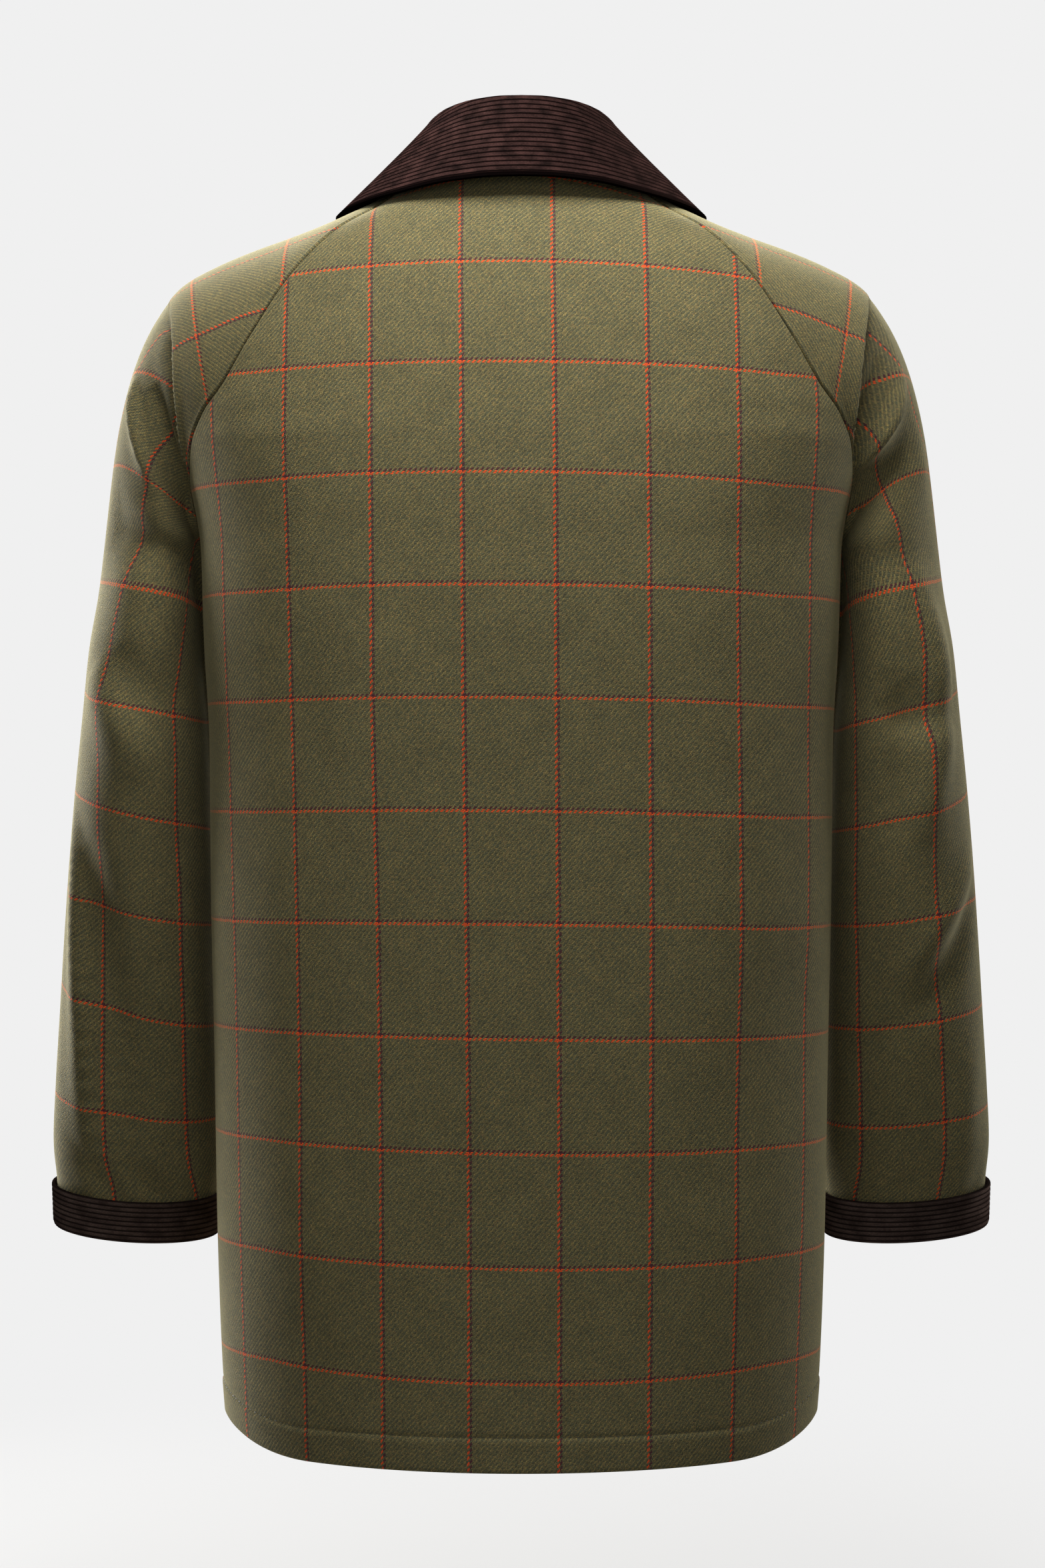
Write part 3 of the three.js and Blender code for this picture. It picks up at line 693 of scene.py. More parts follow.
def stitched(name, paths, sizes, material):
    """Stitches of one size along several paths, as one plain mesh riding with the jacket."""
    points = np.concatenate(paths) * MM
    ends = np.cumsum([len(path) for path in paths])
    edges = [(i, i + 1) for i in range(len(points) - 1) if i + 1 not in ends]
    mesh = bpy.data.meshes.new(name)
    mesh.from_pydata(points.tolist(), edges, [])
    thing = bpy.data.objects.new(name, mesh)
    scene.collection.objects.link(thing)
    modifier = thing.modifiers.new("stitches", "NODES")
    modifier.node_group = stitches
    for item in stitches.interface.items_tree:
        if item.in_out == "INPUT" and item.name in sizes:
            modifier[item.identifier] = sizes[item.name]
        if item.in_out == "INPUT" and item.name == "Material":
            modifier[item.identifier] = material
    bpy.context.view_layer.update()
    depsgraph = bpy.context.evaluated_depsgraph_get()
    made = bpy.data.meshes.new_from_object(thing.evaluated_get(depsgraph))
    thing.modifiers.remove(modifier)
    thing.data = made
    made.shade_smooth()
    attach(thing, "root")
    return thing


def thread_material(name, colour):
    """Twisted sewing thread: fine slanting plies, with painted shade darkening their grooves, and a
    dull shine.
    """
    material, tree = blank_material(name)
    where = add_node(tree, "ShaderNodeTexCoord")
    plies = add_node(tree, "ShaderNodeTexWave",
                     {"Vector": where.outputs["Object"], "Scale": PLY_SCALE, "Distortion": 1.0},
                     bands_direction="DIAGONAL")
    # Painted shade: the darker first colour lies in the grooves between the plies
    tone = add_node(tree, "ShaderNodeMix",
                    {0: plies.outputs["Fac"], 6: linear(colour[0]), 7: linear(colour[1])},
                    data_type="RGBA")
    bump = add_node(tree, "ShaderNodeBump",
                    {"Height": plies.outputs["Fac"], "Strength": 0.4, "Distance": 0.0002})
    twist = add_node(tree, "ShaderNodeBsdfPrincipled",
                     {"Base Color": tone.outputs[2], "Roughness": 0.6, "Sheen Weight": 0.15,
                      "Normal": bump.outputs[0]})
    add_node(tree, "ShaderNodeOutputMaterial", {"Surface": twist.outputs[0]})
    return material


stitches = stitches_tree()
# Twisted polyester, a shade darker than the wool, so that the stitches hardly show; its first colour
# is painted shade for the grooves between the plies
sewing_thread = thread_material("twisted_sewing_thread", ("#2f2c1e", "#4a462f"))


def body_panel(name, node, grid, creases, seam_edges):
    """A back or a front with its hem sewn; seam_edges says which of its sides is a seam."""
    across, down = body_grain(grid)
    first, last = edge_runs(grid)
    height = creased(across, down, creases) * smoothstep(np.minimum(first, last), *SEAM_CALM)
    height += hem_relief(grid)
    for run, sewn in zip((first, last), seam_edges):
        height += seam_dip(run) if sewn else edge_round(run)
    if node == "back":
        across, down = settled(across, down)
    uv = np.stack([across - PANE_AT[0], PANE_AT[1] - down], axis=-1)
    panel, outer = dressed(name, grid, height, uv)
    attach(panel, "root")
    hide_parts(node)
    sewn_row = -1 - HEM_STEPS.index(HEM_TURN)
    line = outer[sewn_row] + way_out(outer)[sewn_row] * -HEM_SUNK
    sewn_hem = stitched(f"hem_stitches_{node}", [line[HEM_ENDS:-HEM_ENDS]], HEM_STITCH,
                        sewing_thread)
    return panel, sewn_hem


# Height, width on either side, and three places across from the middle and down from the neck
BACK_CREASES = [
    (-2.6, 26, 34, (-152, 280), (-146, 380), (-150, 480)),
    (2.0, 30, 30, (-96, 330), (-92, 420), (-98, 520)),
    (-3.2, 36, 44, (205, 540), (170, 620), (118, 720)),
    (2.2, 40, 30, (-180, 640), (-150, 720), (-146, 800)),
    (-2.2, 24, 30, (178, 250), (160, 320), (166, 400)),
    (-1.6, 18, 24, (-40, 640), (-34, 720), (-42, 810)),
]
BACK_COLUMNS = 126

back_numbers = body_row_numbers(BACK_SEAM, 2)
back_dense = body_points(through(body_rows(BACK_SEAM, 2), back_numbers),
                         lambda turn, reach, corner: np.linspace(-1, 1, DENSE)[None, :])
back_outer = respaced(back_dense, BACK_COLUMNS)
back_panel, back_hem = body_panel("wool_back", "back", back_outer, BACK_CREASES, (True, True))

# ---- Fronts ---------------------------------------------------------------------------------
# Two fronts of the same tweed, each 20 mm past the centre front, the left one lapped over the
# right one and lifted by the thickness of the cloth and its facing.

LAP = 20
LAP_LIFT = 3.4
LAP_BLEND = (22, 46)  # how far from the centre front the left one rises over the right one
SIDE_STEPS = 201
LAP_STEPS = 67
FRONT_COLUMNS = 82


def front_shares(turn, reach, corner):
    """From the side seam across the centre front to the end of the lap."""
    def share_at(x):
        return np.sign(x) * np.arcsin((abs(x) / reach) ** (corner / 2)) / turn
    across = np.linspace(0, 1, SIDE_STEPS)[None, :]
    side = 1 + (share_at(LAP_BLEND[1]) - 1) * across
    near = np.concatenate([share_at(x) for x in np.linspace(LAP_BLEND[1], -LAP, LAP_STEPS)[1:]],
                          axis=1)
    return np.concatenate([side, near], axis=1)


front_numbers = body_row_numbers(FRONT_SEAM, 3)
front_dense = body_points(through(body_rows(FRONT_SEAM, 3), front_numbers), front_shares)
front_outer = respaced(front_dense, FRONT_COLUMNS)
FRONT_CREASES = {
    "left": [
        (-2.6, 24, 34, (-120, 250), (-132, 330), (-128, 430)),
        (2.2, 30, 30, (-70, 330), (-74, 430), (-66, 540)),
        (-2.8, 30, 38, (-190, 520), (-150, 610), (-110, 720)),
        (2.0, 26, 34, (-150, 640), (-130, 720), (-136, 800)),
    ],
    "right": [
        (-2.2, 26, 30, (126, 270), (120, 350), (128, 440)),
        (2.4, 28, 34, (84, 360), (78, 470), (86, 560)),
        (-2.4, 34, 40, (196, 500), (168, 590), (140, 690)),
        (-1.8, 22, 28, (70, 620), (76, 720), (68, 810)),
    ],
}
fronts = {}
for side, lift in (("left", LAP_LIFT), ("right", 0)):
    grid = front_outer.copy()
    grid[..., 1] -= lift * (1 - smoothstep(grid[..., 0], *LAP_BLEND))
    grid = mirrored(grid) if side == "right" else grid
    fronts[side] = body_panel(f"wool_front_{side}", f"front_{side}", grid,
                              FRONT_CREASES[side], (side == "left", side == "right"))

# ---- Sleeves --------------------------------------------------------------------------------
# Raglan sleeves, each of a back and a front half joined along the overarm and under the arm,
# sewn to the body with the turnings pressed towards the sleeve.

# The overarm seam from the neck to the underarm: x y z
OVERARM = [
    [77, -2, -15], [96, -3, -27], [121, -4, -39.5], [150, -5, -49.5], [180, -6, -59],
    [208, -8, -70], [231, -11, -82.5], [248.5, -15, -103], [264, -20, -133], [277.5, -27, -181],
    [288, -34, -258],
]
# The arm: height, inner and outer edge, how far forward each lies, swell behind and before,
# and the lean forward and outward in degrees
ARM = [
    [-292, 219, 292, -13, -37, 60, -92, 1, 4],
    [-332, 218.5, 299, -25, -40, 68, -84, 2, 5],
    [-378, 216, 304, -34, -43, 72, -77, 3, 5],
    [-428, 214.5, 309.5, -41, -46, 70, -73, 4, 5],
    [-480, 213, 314.5, -47, -50, 65, -69, 5, 5],
    [-532, 212.5, 319, -53, -56, 60, -64, 6, 4],
    [-584, 212, 323, -60, -62, 54, -58, 7, 4],
    [-634, 212, 327, -67, -69, 48, -51, 8, 4],
    [-676, 212.5, 329.5, -74, -75, 42, -44, 9.5, 4],
    [-705, 215.5, 327.5, -78, -79, 36, -37, 11, 3.5],
    [-730.5, 216.5, 327, -81, -82, 33, -34, 11, 3.5],
]


def sleeve_rows(seams, swell):
    """Rows of a sleeve's sections: overarm x y z, seam x y z, angle, swell, lean forward."""
    upper = [top + row[:3] + row[6:8] + [0] for top, row in zip(OVERARM, seams)]
    lower = []
    for row in ARM:
        z, inner, outer, inner_y, outer_y = row[:5]
        rise = (outer - inner) / 2 * math.tan(math.radians(row[8]))
        lower.append([outer, outer_y, z + rise, inner, inner_y, z - rise, 180, row[swell], row[7]])
    return upper + lower


def sleeve_points(rows, share):
    """Points of a sleeve's sections from the overarm seam (share 0) to the other seam (1)."""
    top_x, top_y, top_z, x, y, z, wrap, swell, lean = (column[:, None] for column in rows.T)
    turn = np.radians(wrap)
    angle = turn * share[None, :]
    whole = 1 - np.cos(turn)
    along = (1 - np.cos(angle)) / whole
    slide = (y - top_y - swell * np.sin(turn)) / whole
    out = slide * (1 - np.cos(angle)) + swell * np.sin(angle)
    px = top_x + (x - top_x) * along
    pz = top_z + (z - top_z) * along - np.tan(np.radians(lean)) * (out - (y - top_y) * along)
    return np.stack([px, top_y + out, pz], axis=-1)


# Each half of a sleeve: its seam with the body, and the column of ARM that holds its swell
HALVES = {"back": (BACK_SEAM, 5), "front": (FRONT_SEAM, 6)}
SLEEVE_COLUMNS = 58
SLEEVE_DENSE = 201
SLEEVE_PATH_STEPS = 1001
CROSS_LINES = {
    "left": ([172, 248, 306, 384, 459, 527, 595, 662, 742, 815],
             [104, 178, 265, 399, 473, 545, 613, 685, 752, 825]),
    "right": ([176, 252, 312, 382, 457, 527, 602, 678, 751, 824],
              [100, 175, 262, 402, 478, 547, 614, 686, 755, 828]),
}
LONG_LINE = {
    "left": ([180, 197, 238, 267, 306, 350, 600, 806], [126, 110, 89, 77, 72, 67, 65, 61]),
    "right": ([180, 189, 227, 293, 336, 380, 450, 515, 600, 806],
              [129, 123, 101, 86, 78, 76, 81, 80, 75, 57]),
}
SHOULDER_LINE = ([0, 52, 91, 134, 161, 185, 210], [168, 145, 123, 107, 99, 86, 76])
SHOULDER_CROSS = 161
ROUND_SPAN = 150  # how far round from the overarm the second list of CROSS_LINES lies
ROUND_END = 170  # and where its slant stops
# The tuck where the arm hangs from the shoulder: distance round from the overarm, how far down
# it lies and how deep it is
TUCK = {
    "left": [[0, 180, 0], [40, 180, 1.2], [64, 181, 3.5], [86, 185, 8], [104, 193, 13],
             [117, 201, 18], [130, 214, 23], [142, 230, 25]],
    "right": [[0, 176, 0], [40, 176, 2], [60, 177, 6], [90, 178, 14], [113, 181, 19],
              [135, 187, 23], [146, 201, 25], [156, 226, 26]],
}
TUCK_STEP = (0.0, 4.5)
TUCK_FADE = 62  # the cloth comes back out over about this length below the tuck
TUCK_BEFORE = 0.55  # its depth in front, as a share of that behind
TUCK_BROW = (0.11, 9)  # how far the cloth above it swells, as a share of its depth, and how far up
TUCK_SEAM = (1.0, 10.0)  # the tuck dies away this near to the raglan seam
FOLDS_FROM = (10, 46)  # the folds begin this far round from the overarm
SEAM_LIP = (0.7, 2.0, 1.3)  # the turnings beside the raglan seam: height, place, width
OVERARM_DIP = 0.7
# Height, width on either side, and three places: round from the overarm (behind it above 0, in
# front below 0) and down the sleeve
SLEEVE_CREASES = {
    "left": [
        (8.0, 7, 11, (34, 238), (62, 266), (88, 300)),
        (-8.0, 12, 13, (66, 222), (90, 242), (116, 266)),
        (-9.0, 20, 16, (24, 342), (76, 356), (130, 382)),
        (6.0, 16, 22, (54, 438), (74, 468), (108, 510)),
        (-5.0, 18, 20, (70, 430), (96, 452), (140, 470)),
        (6.0, 8, 14, (28, 540), (44, 628), (50, 792)),
        (-7.0, 16, 20, (50, 560), (72, 640), (78, 780)),
        (-3.0, 6, 8, (42, 772), (56, 790), (68, 808)),
        (-3.0, 8, 8, (84, 784), (94, 796), (104, 808)),
        (2.6, 16, 20, (124, 560), (134, 640), (128, 740)),
        (-5.0, 12, 14, (-56, 430), (-100, 446), (-150, 440)),
        (-4.0, 10, 14, (-50, 474), (-96, 490), (-140, 482)),
        (-5.0, 16, 18, (-20, 300), (-72, 322), (-124, 330)),
        (4.5, 14, 18, (-40, 560), (-60, 650), (-66, 770)),
        (-3.5, 12, 16, (-84, 600), (-96, 690), (-104, 790)),
    ],
    "right": [
        (8.5, 12, 8, (48, 236), (84, 246), (136, 228)),
        (-5.0, 10, 12, (62, 204), (98, 216), (128, 212)),
        (-5.5, 14, 16, (38, 262), (84, 280), (124, 268)),
        (2.5, 10, 12, (24, 286), (38, 298), (48, 314)),
        (-6.5, 22, 12, (50, 466), (84, 474), (126, 466)),
        (7.5, 12, 15, (66, 392), (66, 466), (82, 542)),
        (-7.0, 18, 16, (98, 440), (106, 500), (110, 562)),
        (5.0, 13, 18, (26, 562), (54, 600), (88, 644)),
        (-7.0, 16, 14, (26, 590), (54, 632), (90, 680)),
        (3.0, 16, 16, (30, 690), (38, 740), (34, 800)),
        (-3.0, 8, 8, (14, 788), (20, 800), (26, 812)),
        (-5.5, 14, 12, (-50, 420), (-96, 440), (-146, 452)),
        (-4.0, 12, 12, (-64, 470), (-104, 488), (-150, 500)),
        (-4.5, 18, 16, (-16, 318), (-66, 330), (-118, 318)),
        (4.0, 18, 14, (-44, 580), (-54, 670), (-60, 790)),
        (-3.0, 14, 14, (-90, 560), (-98, 640), (-110, 740)),
    ],
}


def sleeve_relief(side, across, down, to_seam):
    """Height of the tuck, the creases and the seams, and how far each place is past the tuck."""
    lies, depth = through_table(TUCK[side], np.abs(across))
    past = down - lies
    on_front = np.where(across < 0, TUCK_BEFORE, 1.0)
    shelf = -depth * on_front * smoothstep(past, *TUCK_STEP) * np.exp(
        -np.maximum(past - TUCK_STEP[1], 0) / TUCK_FADE)
    shelf += TUCK_BROW[0] * depth * on_front * bell(past, TUCK_BROW[1]) * (past < TUCK_STEP[0])
    folds = creased(across, down, SLEEVE_CREASES[side]) * smoothstep(np.abs(across), *FOLDS_FROM)
    height = (shelf + folds) * smoothstep(to_seam, *TUCK_SEAM)
    height += seam_dip(to_seam) + SEAM_LIP[0] * bell(to_seam - SEAM_LIP[1], SEAM_LIP[2])
    height -= OVERARM_DIP * bell(across, SEAM_DIP[1])
    return height, past


def sleeve_grain(side, across, down, past):
    """Threads of a sleeve: on the shoulder, along the arm, and between them inside the tuck."""
    at_top, at_side = CROSS_LINES[side]
    count = np.arange(len(at_top))
    top = np.interp(down, at_top, count, left=-1)
    inside = np.interp(down, at_side, count, left=-1)
    slant = np.minimum(np.abs(across), ROUND_END) / ROUND_SPAN
    arm_down = (top + (inside - top) * slant) * CHECK[1]
    arm_across = across - np.interp(down, *LONG_LINE[side])
    shoulder_down = down - SHOULDER_CROSS
    shoulder_across = across - np.interp(down, *SHOULDER_LINE)
    share = smoothstep(past, *TUCK_STEP)
    return (shoulder_across + (arm_across - shoulder_across) * share,
            shoulder_down + (arm_down - shoulder_down) * share)


sleeve_grids = {}
for half, (seams, swell) in HALVES.items():
    rows = sleeve_rows(seams, swell)
    below = row_numbers([row[:3] for row in rows[UNDERARM:]], even_steps)
    numbers = np.concatenate([raglan_rows(seams)[:-1], UNDERARM + below])
    dense = sleeve_points(through(rows, numbers), np.linspace(1, 0, SLEEVE_DENSE))
    grid = respaced(dense, SLEEVE_COLUMNS)
    fine = np.linspace(0, len(rows) - 1, SLEEVE_PATH_STEPS)
    overarm = through(rows, fine)[:, :3]
    run = run_along(overarm)
    down = np.interp(numbers, fine, run)[:, None]
    to_seam, across = edge_runs(grid)
    if half == "front":
        grid, across, to_seam = grid[:, ::-1], -across[:, ::-1], to_seam[:, ::-1]
    sleeve_grids[half] = (grid, across, down + 0 * across, to_seam)

for side in ("left", "right"):
    for half, (grid, across, down, to_seam) in sleeve_grids.items():
        height, past = sleeve_relief(side, across, down, to_seam)
        thread_across, thread_down = sleeve_grain(side, across, down, past)
        uv = np.stack([thread_across, -thread_down], axis=-1)
        if side == "right":
            grid, height, uv = mirrored(grid), height[:, ::-1], uv[:, ::-1] * [-1, 1]
        sleeve = dressed(f"wool_sleeve_{side}_{half}", grid, height, uv)[0]
        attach(sleeve, "root")
        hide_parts(f"sleeve_{side}_{half}")

# ---- Collar ---------------------------------------------------------------------------------
# A turn-down collar of dark brown cotton corduroy, cut in one with its stand: up from the neck
# seam, over a soft roll and down, with the wales along it and the strip where its edge turns under
# painted dark as shade.

CORDUROY = 2.4  # its thickness with the turnings
COLLAR_CLEAR = 0.5  # how far its foot stands above the neck seam
ROLL = 4.2  # radius of its fold
WALE = 4.4  # from one rib to the next
WALE_DEPTH = 0.9
WALE_CROWN = 0.7  # under 1, so that the ribs are round and the grooves narrow
WALE_STEPS = 6  # rows of the mesh to a rib
PILE_LEAN = 0.7  # how much the pile leans along the ribs
TUFTS = (900.0, 2.2)  # to the metre, coarse enough to show, and how much narrower across a rib
BRUSH_MARKS = 110.0  # to the metre
COLLAR_SHADED_EDGE = 5.0  # the strip along its edge that turns under, painted dark as shade
COLLAR_STEP = 3.0  # from one of its sections to the next
COLLAR_OVER = 125  # about the way over the collar, from its foot to its edge
COLLAR_POINTS = round(COLLAR_OVER / WALE * WALE_STEPS)
CURVE_STEPS = 33
FALL_STOPS = (0.35, 0.7)  # shares of the way down from the fold that its curve passes through
# Share of the way from the centre back to the centre front, top of the roll, outer edge
COLLAR = [
    [0.0, 0, 63, 33, 0, 107, -27.5],
    [0.06, 12, 62.6, 32.8, 18, 106.6, -27.9],
    [0.16, 32, 58, 31, 47, 102, -30.2],
    [0.31, 53, 38, 27, 88, 81, -36],
    [0.46, 63, 4, 21.5, 125, 8, -39],
    [0.6, 58, -28, 11, 118, -50, -43],
    [0.75, 41, -52, -9, 99, -98, -66],
    [0.9, 17, -66, -33, 68, -122, -94],
    [1.0, 3, -71, -46, 46, -124, -104],
]


def corduroy_material(name, wale, ground, pile_dark, pile_light, turned):
    """Cotton corduroy: cut pile in ribs that catch the light along their tops, with the grooves
    between them painted in the near-black ground colour as shade, and the strip where the edge
    turns under painted dark as shade."""
    material, tree = blank_material(name)
    grain = add_node(tree, "ShaderNodeUVMap", uv_map="grain")
    axes = add_node(tree, "ShaderNodeSeparateXYZ", {0: grain.outputs[0]})
    turns = add_node(tree, "ShaderNodeMath", {0: axes.outputs[1], 1: math.pi / (wale * MM)},
                     operation="MULTIPLY")
    wave = add_node(tree, "ShaderNodeMath", {0: turns.outputs[0]}, operation="SINE")
    rib = add_node(tree, "ShaderNodeMath", {0: wave.outputs[0]}, operation="ABSOLUTE")
    narrower = add_node(tree, "ShaderNodeMath", {0: axes.outputs[1], 1: TUFTS[1]},
                        operation="MULTIPLY")
    pile_map = add_node(tree, "ShaderNodeCombineXYZ", {0: axes.outputs[0], 1: narrower})
    pile = add_node(tree, "ShaderNodeTexNoise",
                    {"Vector": pile_map.outputs[0], "Scale": TUFTS[0], "Detail": 4.0,
                     "Roughness": 0.65})
    brushed = add_node(tree, "ShaderNodeTexNoise",
                       {"Vector": grain.outputs[0], "Scale": BRUSH_MARKS, "Detail": 4.0})
    # Painted shade: the grooves between the ribs, and the strip where the edge turns under, take the
    # near-black ground colour instead of the pile's
    top = add_node(tree, "ShaderNodeMapRange",
                   {"Value": rib.outputs[0], "From Min": 0.15, "From Max": 0.8,
                    "To Min": 0.0, "To Max": 1.0})
    past_painted_edge_shade = add_node(tree, "ShaderNodeMapRange",
                         {"Value": axes.outputs[1], "From Min": turned * 0.6 * MM,
                          "From Max": (turned + 0.1) * MM})
    pile_clear_of_painted_shade = add_node(tree, "ShaderNodeMath", {0: top.outputs[0], 1: past_painted_edge_shade.outputs[0]},
                        operation="MULTIPLY")
    flecks = add_node(tree, "ShaderNodeMath",
                      {0: pile.outputs[0], 1: brushed.outputs[0]}, operation="MULTIPLY")
    light = add_node(tree, "ShaderNodeMapRange",
                     {"Value": flecks.outputs[0], "From Min": 0.16, "From Max": 0.36})
    pile_colour = add_node(tree, "ShaderNodeMix",
                           {0: light.outputs[0], 6: linear(pile_dark), 7: linear(pile_light)},
                           data_type="RGBA")
    colour = add_node(tree, "ShaderNodeMix",
                      {0: pile_clear_of_painted_shade.outputs[0], 6: linear(ground), 7: pile_colour.outputs[2]},
                      data_type="RGBA")
    bump = add_node(tree, "ShaderNodeBump",
                    {"Height": pile.outputs[0], "Strength": 0.5, "Distance": 0.0005})
    # The pile leans along the ribs, so one end of the collar looks darker than the other
    along_rib = add_node(tree, "ShaderNodeTangent", direction_type="UV_MAP", uv_map="grain")
    lean = add_node(tree, "ShaderNodeVectorMath", {0: along_rib.outputs[0], "Scale": PILE_LEAN},
                    operation="SCALE")
    leaning = add_node(tree, "ShaderNodeVectorMath", {0: bump.outputs[0], 1: lean.outputs[0]},
                       operation="SUBTRACT")
    pile_normal = add_node(tree, "ShaderNodeVectorMath", {0: leaning.outputs[0]},
                           operation="NORMALIZE")
    cotton = add_node(tree, "ShaderNodeBsdfPrincipled",
                      {"Base Color": colour.outputs[2], "Roughness": 0.85,
                       "Specular IOR Level": 0.0, "Sheen Weight": 0.02, "Sheen Roughness": 0.4,
                       "Sheen Tint": linear("#8a6a60"), "Normal": pile_normal.outputs[0]})
    add_node(tree, "ShaderNodeOutputMaterial", {"Surface": cotton.outputs[0]})
    return material


# The collar's colours are painted darker than the cuffs', as painted shade against the strong lamp
# close above the neck
corduroy = corduroy_material("cotton_corduroy", WALE, "#050303", "#17100f", "#3a2724",
                             COLLAR_SHADED_EDGE)


def wales(down, wale, depth):
    """Height of the ribs at a distance across them."""
    return np.abs(np.sin(np.pi * down / wale)) ** WALE_CROWN * depth


def eased(points, count):
    """A round curve through a few points, as a number of evenly spaced ones, and its length."""
    ends = np.concatenate([[2 * points[0] - points[1]], points, [2 * points[-1] - points[-2]]])
    t = np.linspace(0, 1, CURVE_STEPS)[:-1, None]
    parts = [0.5 * (2 * b + (c - a) * t + (2 * a - 5 * b + 4 * c - d) * t**2
                    + (3 * b - a - 3 * c + d) * t**3)
             for a, b, c, d in zip(ends, ends[1:], ends[2:], ends[3:])]
    fine = np.concatenate(parts + [points[-1:]])
    run = run_along(fine)
    at = np.linspace(0, run[-1], count)
    return np.stack([np.interp(at, run, fine[:, axis]) for axis in range(3)], axis=1), run[-1]


def collar_half(front_grid):
    """The collar's sections from the centre back to the centre front, on the left."""
    sleeve_neck = np.concatenate([sleeve_grids["back"][0][0], sleeve_grids["front"][0][0, 1:]])
    back_neck = back_outer[0][back_outer[0][:, 0] >= -JOIN]
    front_neck = front_grid[0][front_grid[0][:, 0] > 1]
    neck = np.concatenate([back_neck, sleeve_neck[1:], front_neck[1:]])
    run = run_along(neck)
    count = round(run[-1] / COLLAR_STEP) + 1
    at = np.linspace(0, run[-1], count)
    foot = np.stack([np.interp(at, run, neck[:, axis]) for axis in range(3)], axis=1)
    table = np.array(COLLAR)
    number = np.interp(at / run[-1], table[:, 0], np.arange(len(table)))
    values = through(table, number)
    fold, edge = values[:, 1:4], values[:, 4:7]
    out = edge - fold
    out[:, 2] = 0
    out /= np.linalg.norm(out, axis=1, keepdims=True)
    up = np.array([0, 0, 1.0])
    base = foot + up * COLLAR_CLEAR - out * CORDUROY
    inside = fold - up * ROLL - out * ROLL
    outside = fold - up * ROLL + out * ROLL
    stops = [base, (base + inside) / 2, inside, fold, outside]
    stops += [outside + (edge - outside) * share for share in FALL_STOPS] + [edge]
    sections, lengths = [], []
    for i in range(count):
        section, length = eased(np.array([stop[i] for stop in stops]), COLLAR_POINTS)
        sections.append(section)
        lengths.append(length)
    return np.array(sections), np.array(lengths)


collar_left, left_length = collar_half(front_outer - [0, LAP_LIFT, 0])
collar_right, right_length = collar_half(front_outer)
collar_grid = np.concatenate([(collar_right * [-1, 1, 1])[:0:-1], collar_left])
collar_length = np.concatenate([right_length[:0:-1], left_length])
from_edge = collar_length[:, None] * (1 - np.linspace(0, 1, COLLAR_POINTS))[None, :]
collar_out = way_out(collar_grid)
ribs = wales(from_edge, WALE, WALE_DEPTH)
along = run_along(collar_grid[:, COLLAR_POINTS // 2])[:, None]
collar = closed_wall("corduroy_collar", collar_grid + collar_out * ribs[..., None],
                     collar_grid - collar_out * (CORDUROY - WALE_DEPTH),
                     np.stack([along + 0 * from_edge, from_edge], axis=-1), corduroy)
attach(collar, "root")
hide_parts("collar")

# ---- Cuffs ----------------------------------------------------------------------------------
# Corduroy cuffs turned back over the ends of the sleeves, with the wales round them and the lower
# edge rounding in under the sleeve, where they are sewn to it.

CUFF_ROWS = (20, 21)  # the rows of the sleeve that the cuff lies between
CUFF_CLEAR = 1.2  # how far it stands off the sleeve
CUFF_END = 1.5  # how far it reaches past the sleeve's end
CUFF_FOLD = 0.8  # how far its lower edge rounds in
CUFF_CORNER = 0.7  # share of its thickness the edge has dropped where it turns in
CUFF_ROUND = 190  # how far the map of its cord runs round it
CUFF_COLUMNS = 120
CUFF_POINTS = 110
RING_DENSE = 121
CUFF_WALE = 3.5
CUFF_WALE_DEPTH = 0.4
# A finer cord than the collar's, with flatter ribs that show less, and its colours painted paler
# than the collar's as painted light
cuff_corduroy_painted_paler = corduroy_material("cotton_corduroy_painted_paler", CUFF_WALE, "#1b1513", "#322824",
                                    "#51433d", 0.0)


def cuff_parts():
    """Outer face and lining of the left cuff: down the turned-back leaf and in under it."""
    rings = []
    for number in CUFF_ROWS:
        halves = [sleeve_points(through(sleeve_rows(seams, swell), np.array([number, number])),
                                np.linspace(1, 0, RING_DENSE))[0]
                  for seams, swell in HALVES.values()]
        ring = np.concatenate([halves[0], halves[1][::-1][1:]])
        rings.append(respaced(ring[None], CUFF_COLUMNS + 1, (False, False))[0])
    top, end = rings
    up = top.mean(axis=0) - end.mean(axis=0)
    up /= np.linalg.norm(up)

    def moved(ring, out, rise):
        """The ring, wider by a distance and higher along the arm."""
        along = np.roll(ring[:-1], -1, axis=0) - np.roll(ring[:-1], 1, axis=0)
        away = np.cross(up, along / np.linalg.norm(along, axis=1, keepdims=True))
        away = np.concatenate([away, away[:1]])
        return ring + away * out + up * rise

    face = CUFF_CLEAR + CORDUROY
    stops = [moved(top, face, 0), moved(top * 0.5 + end * 0.5, face, 0), moved(end, face, 0),
             moved(end, face - CUFF_FOLD, -CUFF_END - CORDUROY * CUFF_CORNER),
             moved(end, (face - TWEED) / 2, -CUFF_END - CORDUROY),
             moved(end, -TWEED, -CUFF_END - CORDUROY)]
    columns = [eased(np.array([stop[i] for stop in stops]), CUFF_POINTS)
               for i in range(CUFF_COLUMNS + 1)]
    grid = np.stack([column[0] for column in columns], axis=1)
    down = np.stack([np.linspace(0, column[1], CUFF_POINTS) for column in columns], axis=1)
    return grid, down


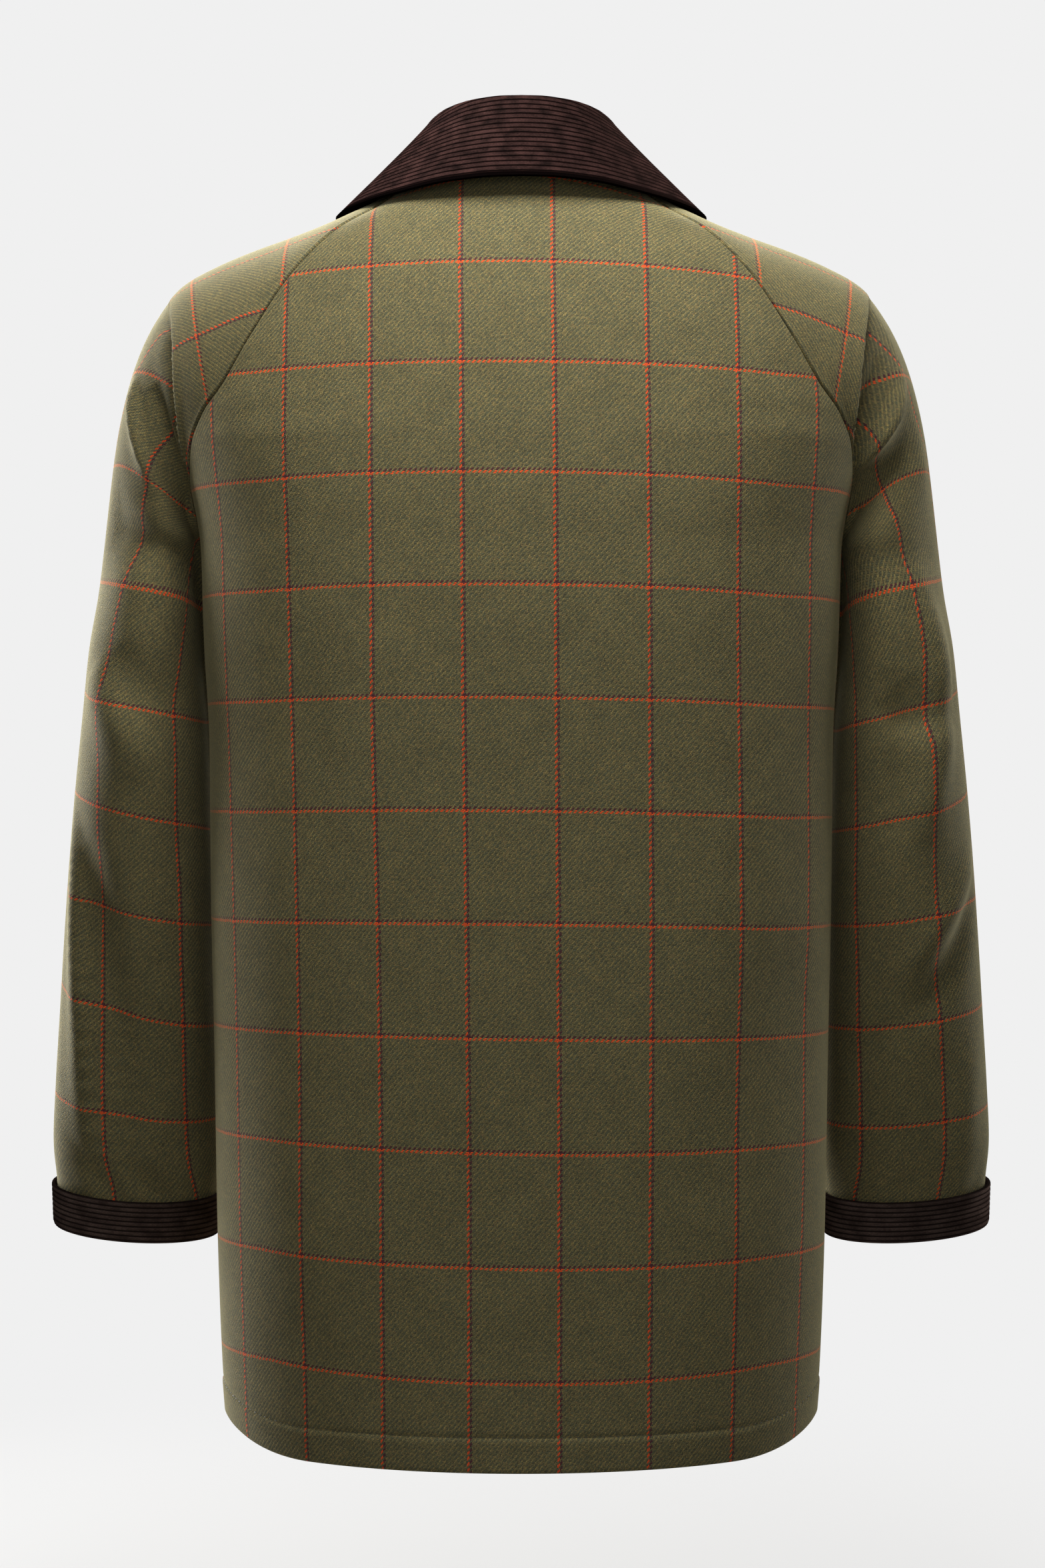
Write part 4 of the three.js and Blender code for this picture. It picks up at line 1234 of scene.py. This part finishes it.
cuff_grid, cuff_down = cuff_parts()
closed_ring = np.concatenate([cuff_grid[:, -2:-1], cuff_grid, cuff_grid[:, 1:2]], axis=1)
cuff_out = np.cross(np.gradient(closed_ring, axis=1)[:, 1:-1], np.gradient(cuff_grid, axis=0))
cuff_out /= np.linalg.norm(cuff_out, axis=-1, keepdims=True)
ribs = wales(cuff_down, CUFF_WALE, CUFF_WALE_DEPTH)
round_cuff = np.linspace(0, 1, CUFF_COLUMNS + 1)[None, :] * CUFF_ROUND + 0 * cuff_down
for side in ("left", "right"):
    outer = cuff_grid + cuff_out * ribs[..., None]
    inner = cuff_grid - cuff_out * (CORDUROY - CUFF_WALE_DEPTH)
    if side == "right":
        outer, inner = mirrored(outer), mirrored(inner)
    cuff = closed_wall(f"corduroy_cuff_{side}", outer, inner,
                       np.stack([round_cuff, cuff_down], axis=-1), cuff_corduroy_painted_paler, ring=True)
    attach(cuff, "root")
    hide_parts(f"cuff_{side}")

# ---- Buttons --------------------------------------------------------------------------------
# Five turned four-hole buttons of polished dark horn, sewn to the right front and passed through
# worked buttonholes that lie across the left one.

BUTTON_COUNT = 5
BUTTON_HOLES = 2.6  # from the button's middle to each of its holes
BUTTON_THICK = 4.0
THREAD_RADIUS = 0.42
THREAD_SUNK = 1.0  # the threads go down into the holes this far
THREAD_RISE = 0.9  # and rise this far over the button's face
THREADS_AT = (-1.12, 0.0, 1.12)  # where the three threads of a pair of holes lie, in thread radii
THREAD_STEPS = 9
BUTTONHOLE = (-2.0, 23.5)  # from the button's middle: its ends, towards the front edge and away
BUTTONHOLE_HALF = 1.1
BUTTONHOLE_STEPS = 12
PURL_OVER = 0.2  # how far its stitches stand off the cloth
HORN_STREAKS = (60.0, 60.0, 420.0)  # to the metre: long across each button and narrow upwards
BUTTON_STITCH = {"Spacing": 0.5 * MM, "Length": 1.1 * MM, "Width": 0.8 * MM, "Unevenness": 0.0}
PURL = {"Spacing": 0.85 * MM, "Length": 1.15 * MM, "Width": 1.3 * MM, "Unevenness": 0.2}


def horn_material(name):
    """Polished cattle horn: nearly black, with brown streaks that run across each button and a
    wet-looking shine."""
    material, tree = blank_material(name)
    where = add_node(tree, "ShaderNodeTexCoord")
    stretched = add_node(tree, "ShaderNodeMapping",
                         {"Vector": where.outputs["Object"], "Rotation": (0.0, 0.5, 0.0),
                          "Scale": HORN_STREAKS})
    streaks = add_node(tree, "ShaderNodeTexNoise",
                       {"Vector": stretched.outputs[0], "Scale": 1.0, "Detail": 4.0,
                        "Distortion": 0.6})
    tone = add_node(tree, "ShaderNodeMapRange",
                    {"Value": streaks.outputs[0], "From Min": 0.42, "From Max": 0.72})
    colour = add_node(tree, "ShaderNodeMix",
                      {0: tone.outputs[0], 6: linear("#1d130d"), 7: linear("#5c4030")},
                      data_type="RGBA")
    rough = add_node(tree, "ShaderNodeMapRange",
                     {"Value": streaks.outputs[0], "To Min": 0.18, "To Max": 0.32})
    horn = add_node(tree, "ShaderNodeBsdfPrincipled",
                    {"Base Color": colour.outputs[2], "Roughness": rough.outputs[0], "IOR": 1.54})
    add_node(tree, "ShaderNodeOutputMaterial", {"Surface": horn.outputs[0]})
    return material


def on_cloth(xs, z, out):
    """Points a little off the left front's face, at a height and at places across it."""
    points = []
    for x in xs:
        place = fronts["left"][0].ray_cast((x * MM, -1, z * MM), (0, 1, 0))[1]
        points.append([x, place[1] / MM - out, z])
    return np.array(points)


horn = horn_material("polished_cattle_horn")
thread_paths, buttonhole_paths, buttons = [], [], []
for number in range(1, BUTTON_COUNT + 1):
    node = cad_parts[f"button_{number}"]
    node.data.materials.clear()
    node.data.materials.append(horn)
    buttons.append(node)
    low, high = (np.array(corner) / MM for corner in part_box(f"button_{number}"))
    middle = (low + high) / 2
    corners = np.array([v.co for v in node.data.vertices]) / MM - middle
    face_out = np.linalg.svd(corners, full_matrices=False)[2][2]
    face_out *= -np.sign(face_out[1])
    up = np.cross(face_out, [1, 0, 0])
    up *= np.sign(up[2])
    turn = np.linspace(0, math.pi, THREAD_STEPS)[:, None]
    arch = BUTTON_THICK / 2 - THREAD_SUNK + np.sin(turn) * (THREAD_SUNK + THREAD_RISE)
    for row in (-1, 1):
        for place in THREADS_AT:
            thread_paths.append(middle + up * (row * BUTTON_HOLES + place * THREAD_RADIUS)
                                - np.cos(turn) * [BUTTON_HOLES, 0, 0] + face_out * arch)
    near, far = middle[0] + BUTTONHOLE[0], middle[0] + BUTTONHOLE[1]
    xs = np.linspace(near, far, BUTTONHOLE_STEPS)
    upper = on_cloth(xs, middle[2] + BUTTONHOLE_HALF, PURL_OVER)
    lower = on_cloth(xs, middle[2] - BUTTONHOLE_HALF, PURL_OVER)
    buttonhole_paths.append(np.concatenate([upper, lower[::-1], upper[:1]]))
button_threads = stitched("button_threads", thread_paths, BUTTON_STITCH, sewing_thread)
buttonholes = stitched("worked_buttonholes", buttonhole_paths, PURL, sewing_thread)
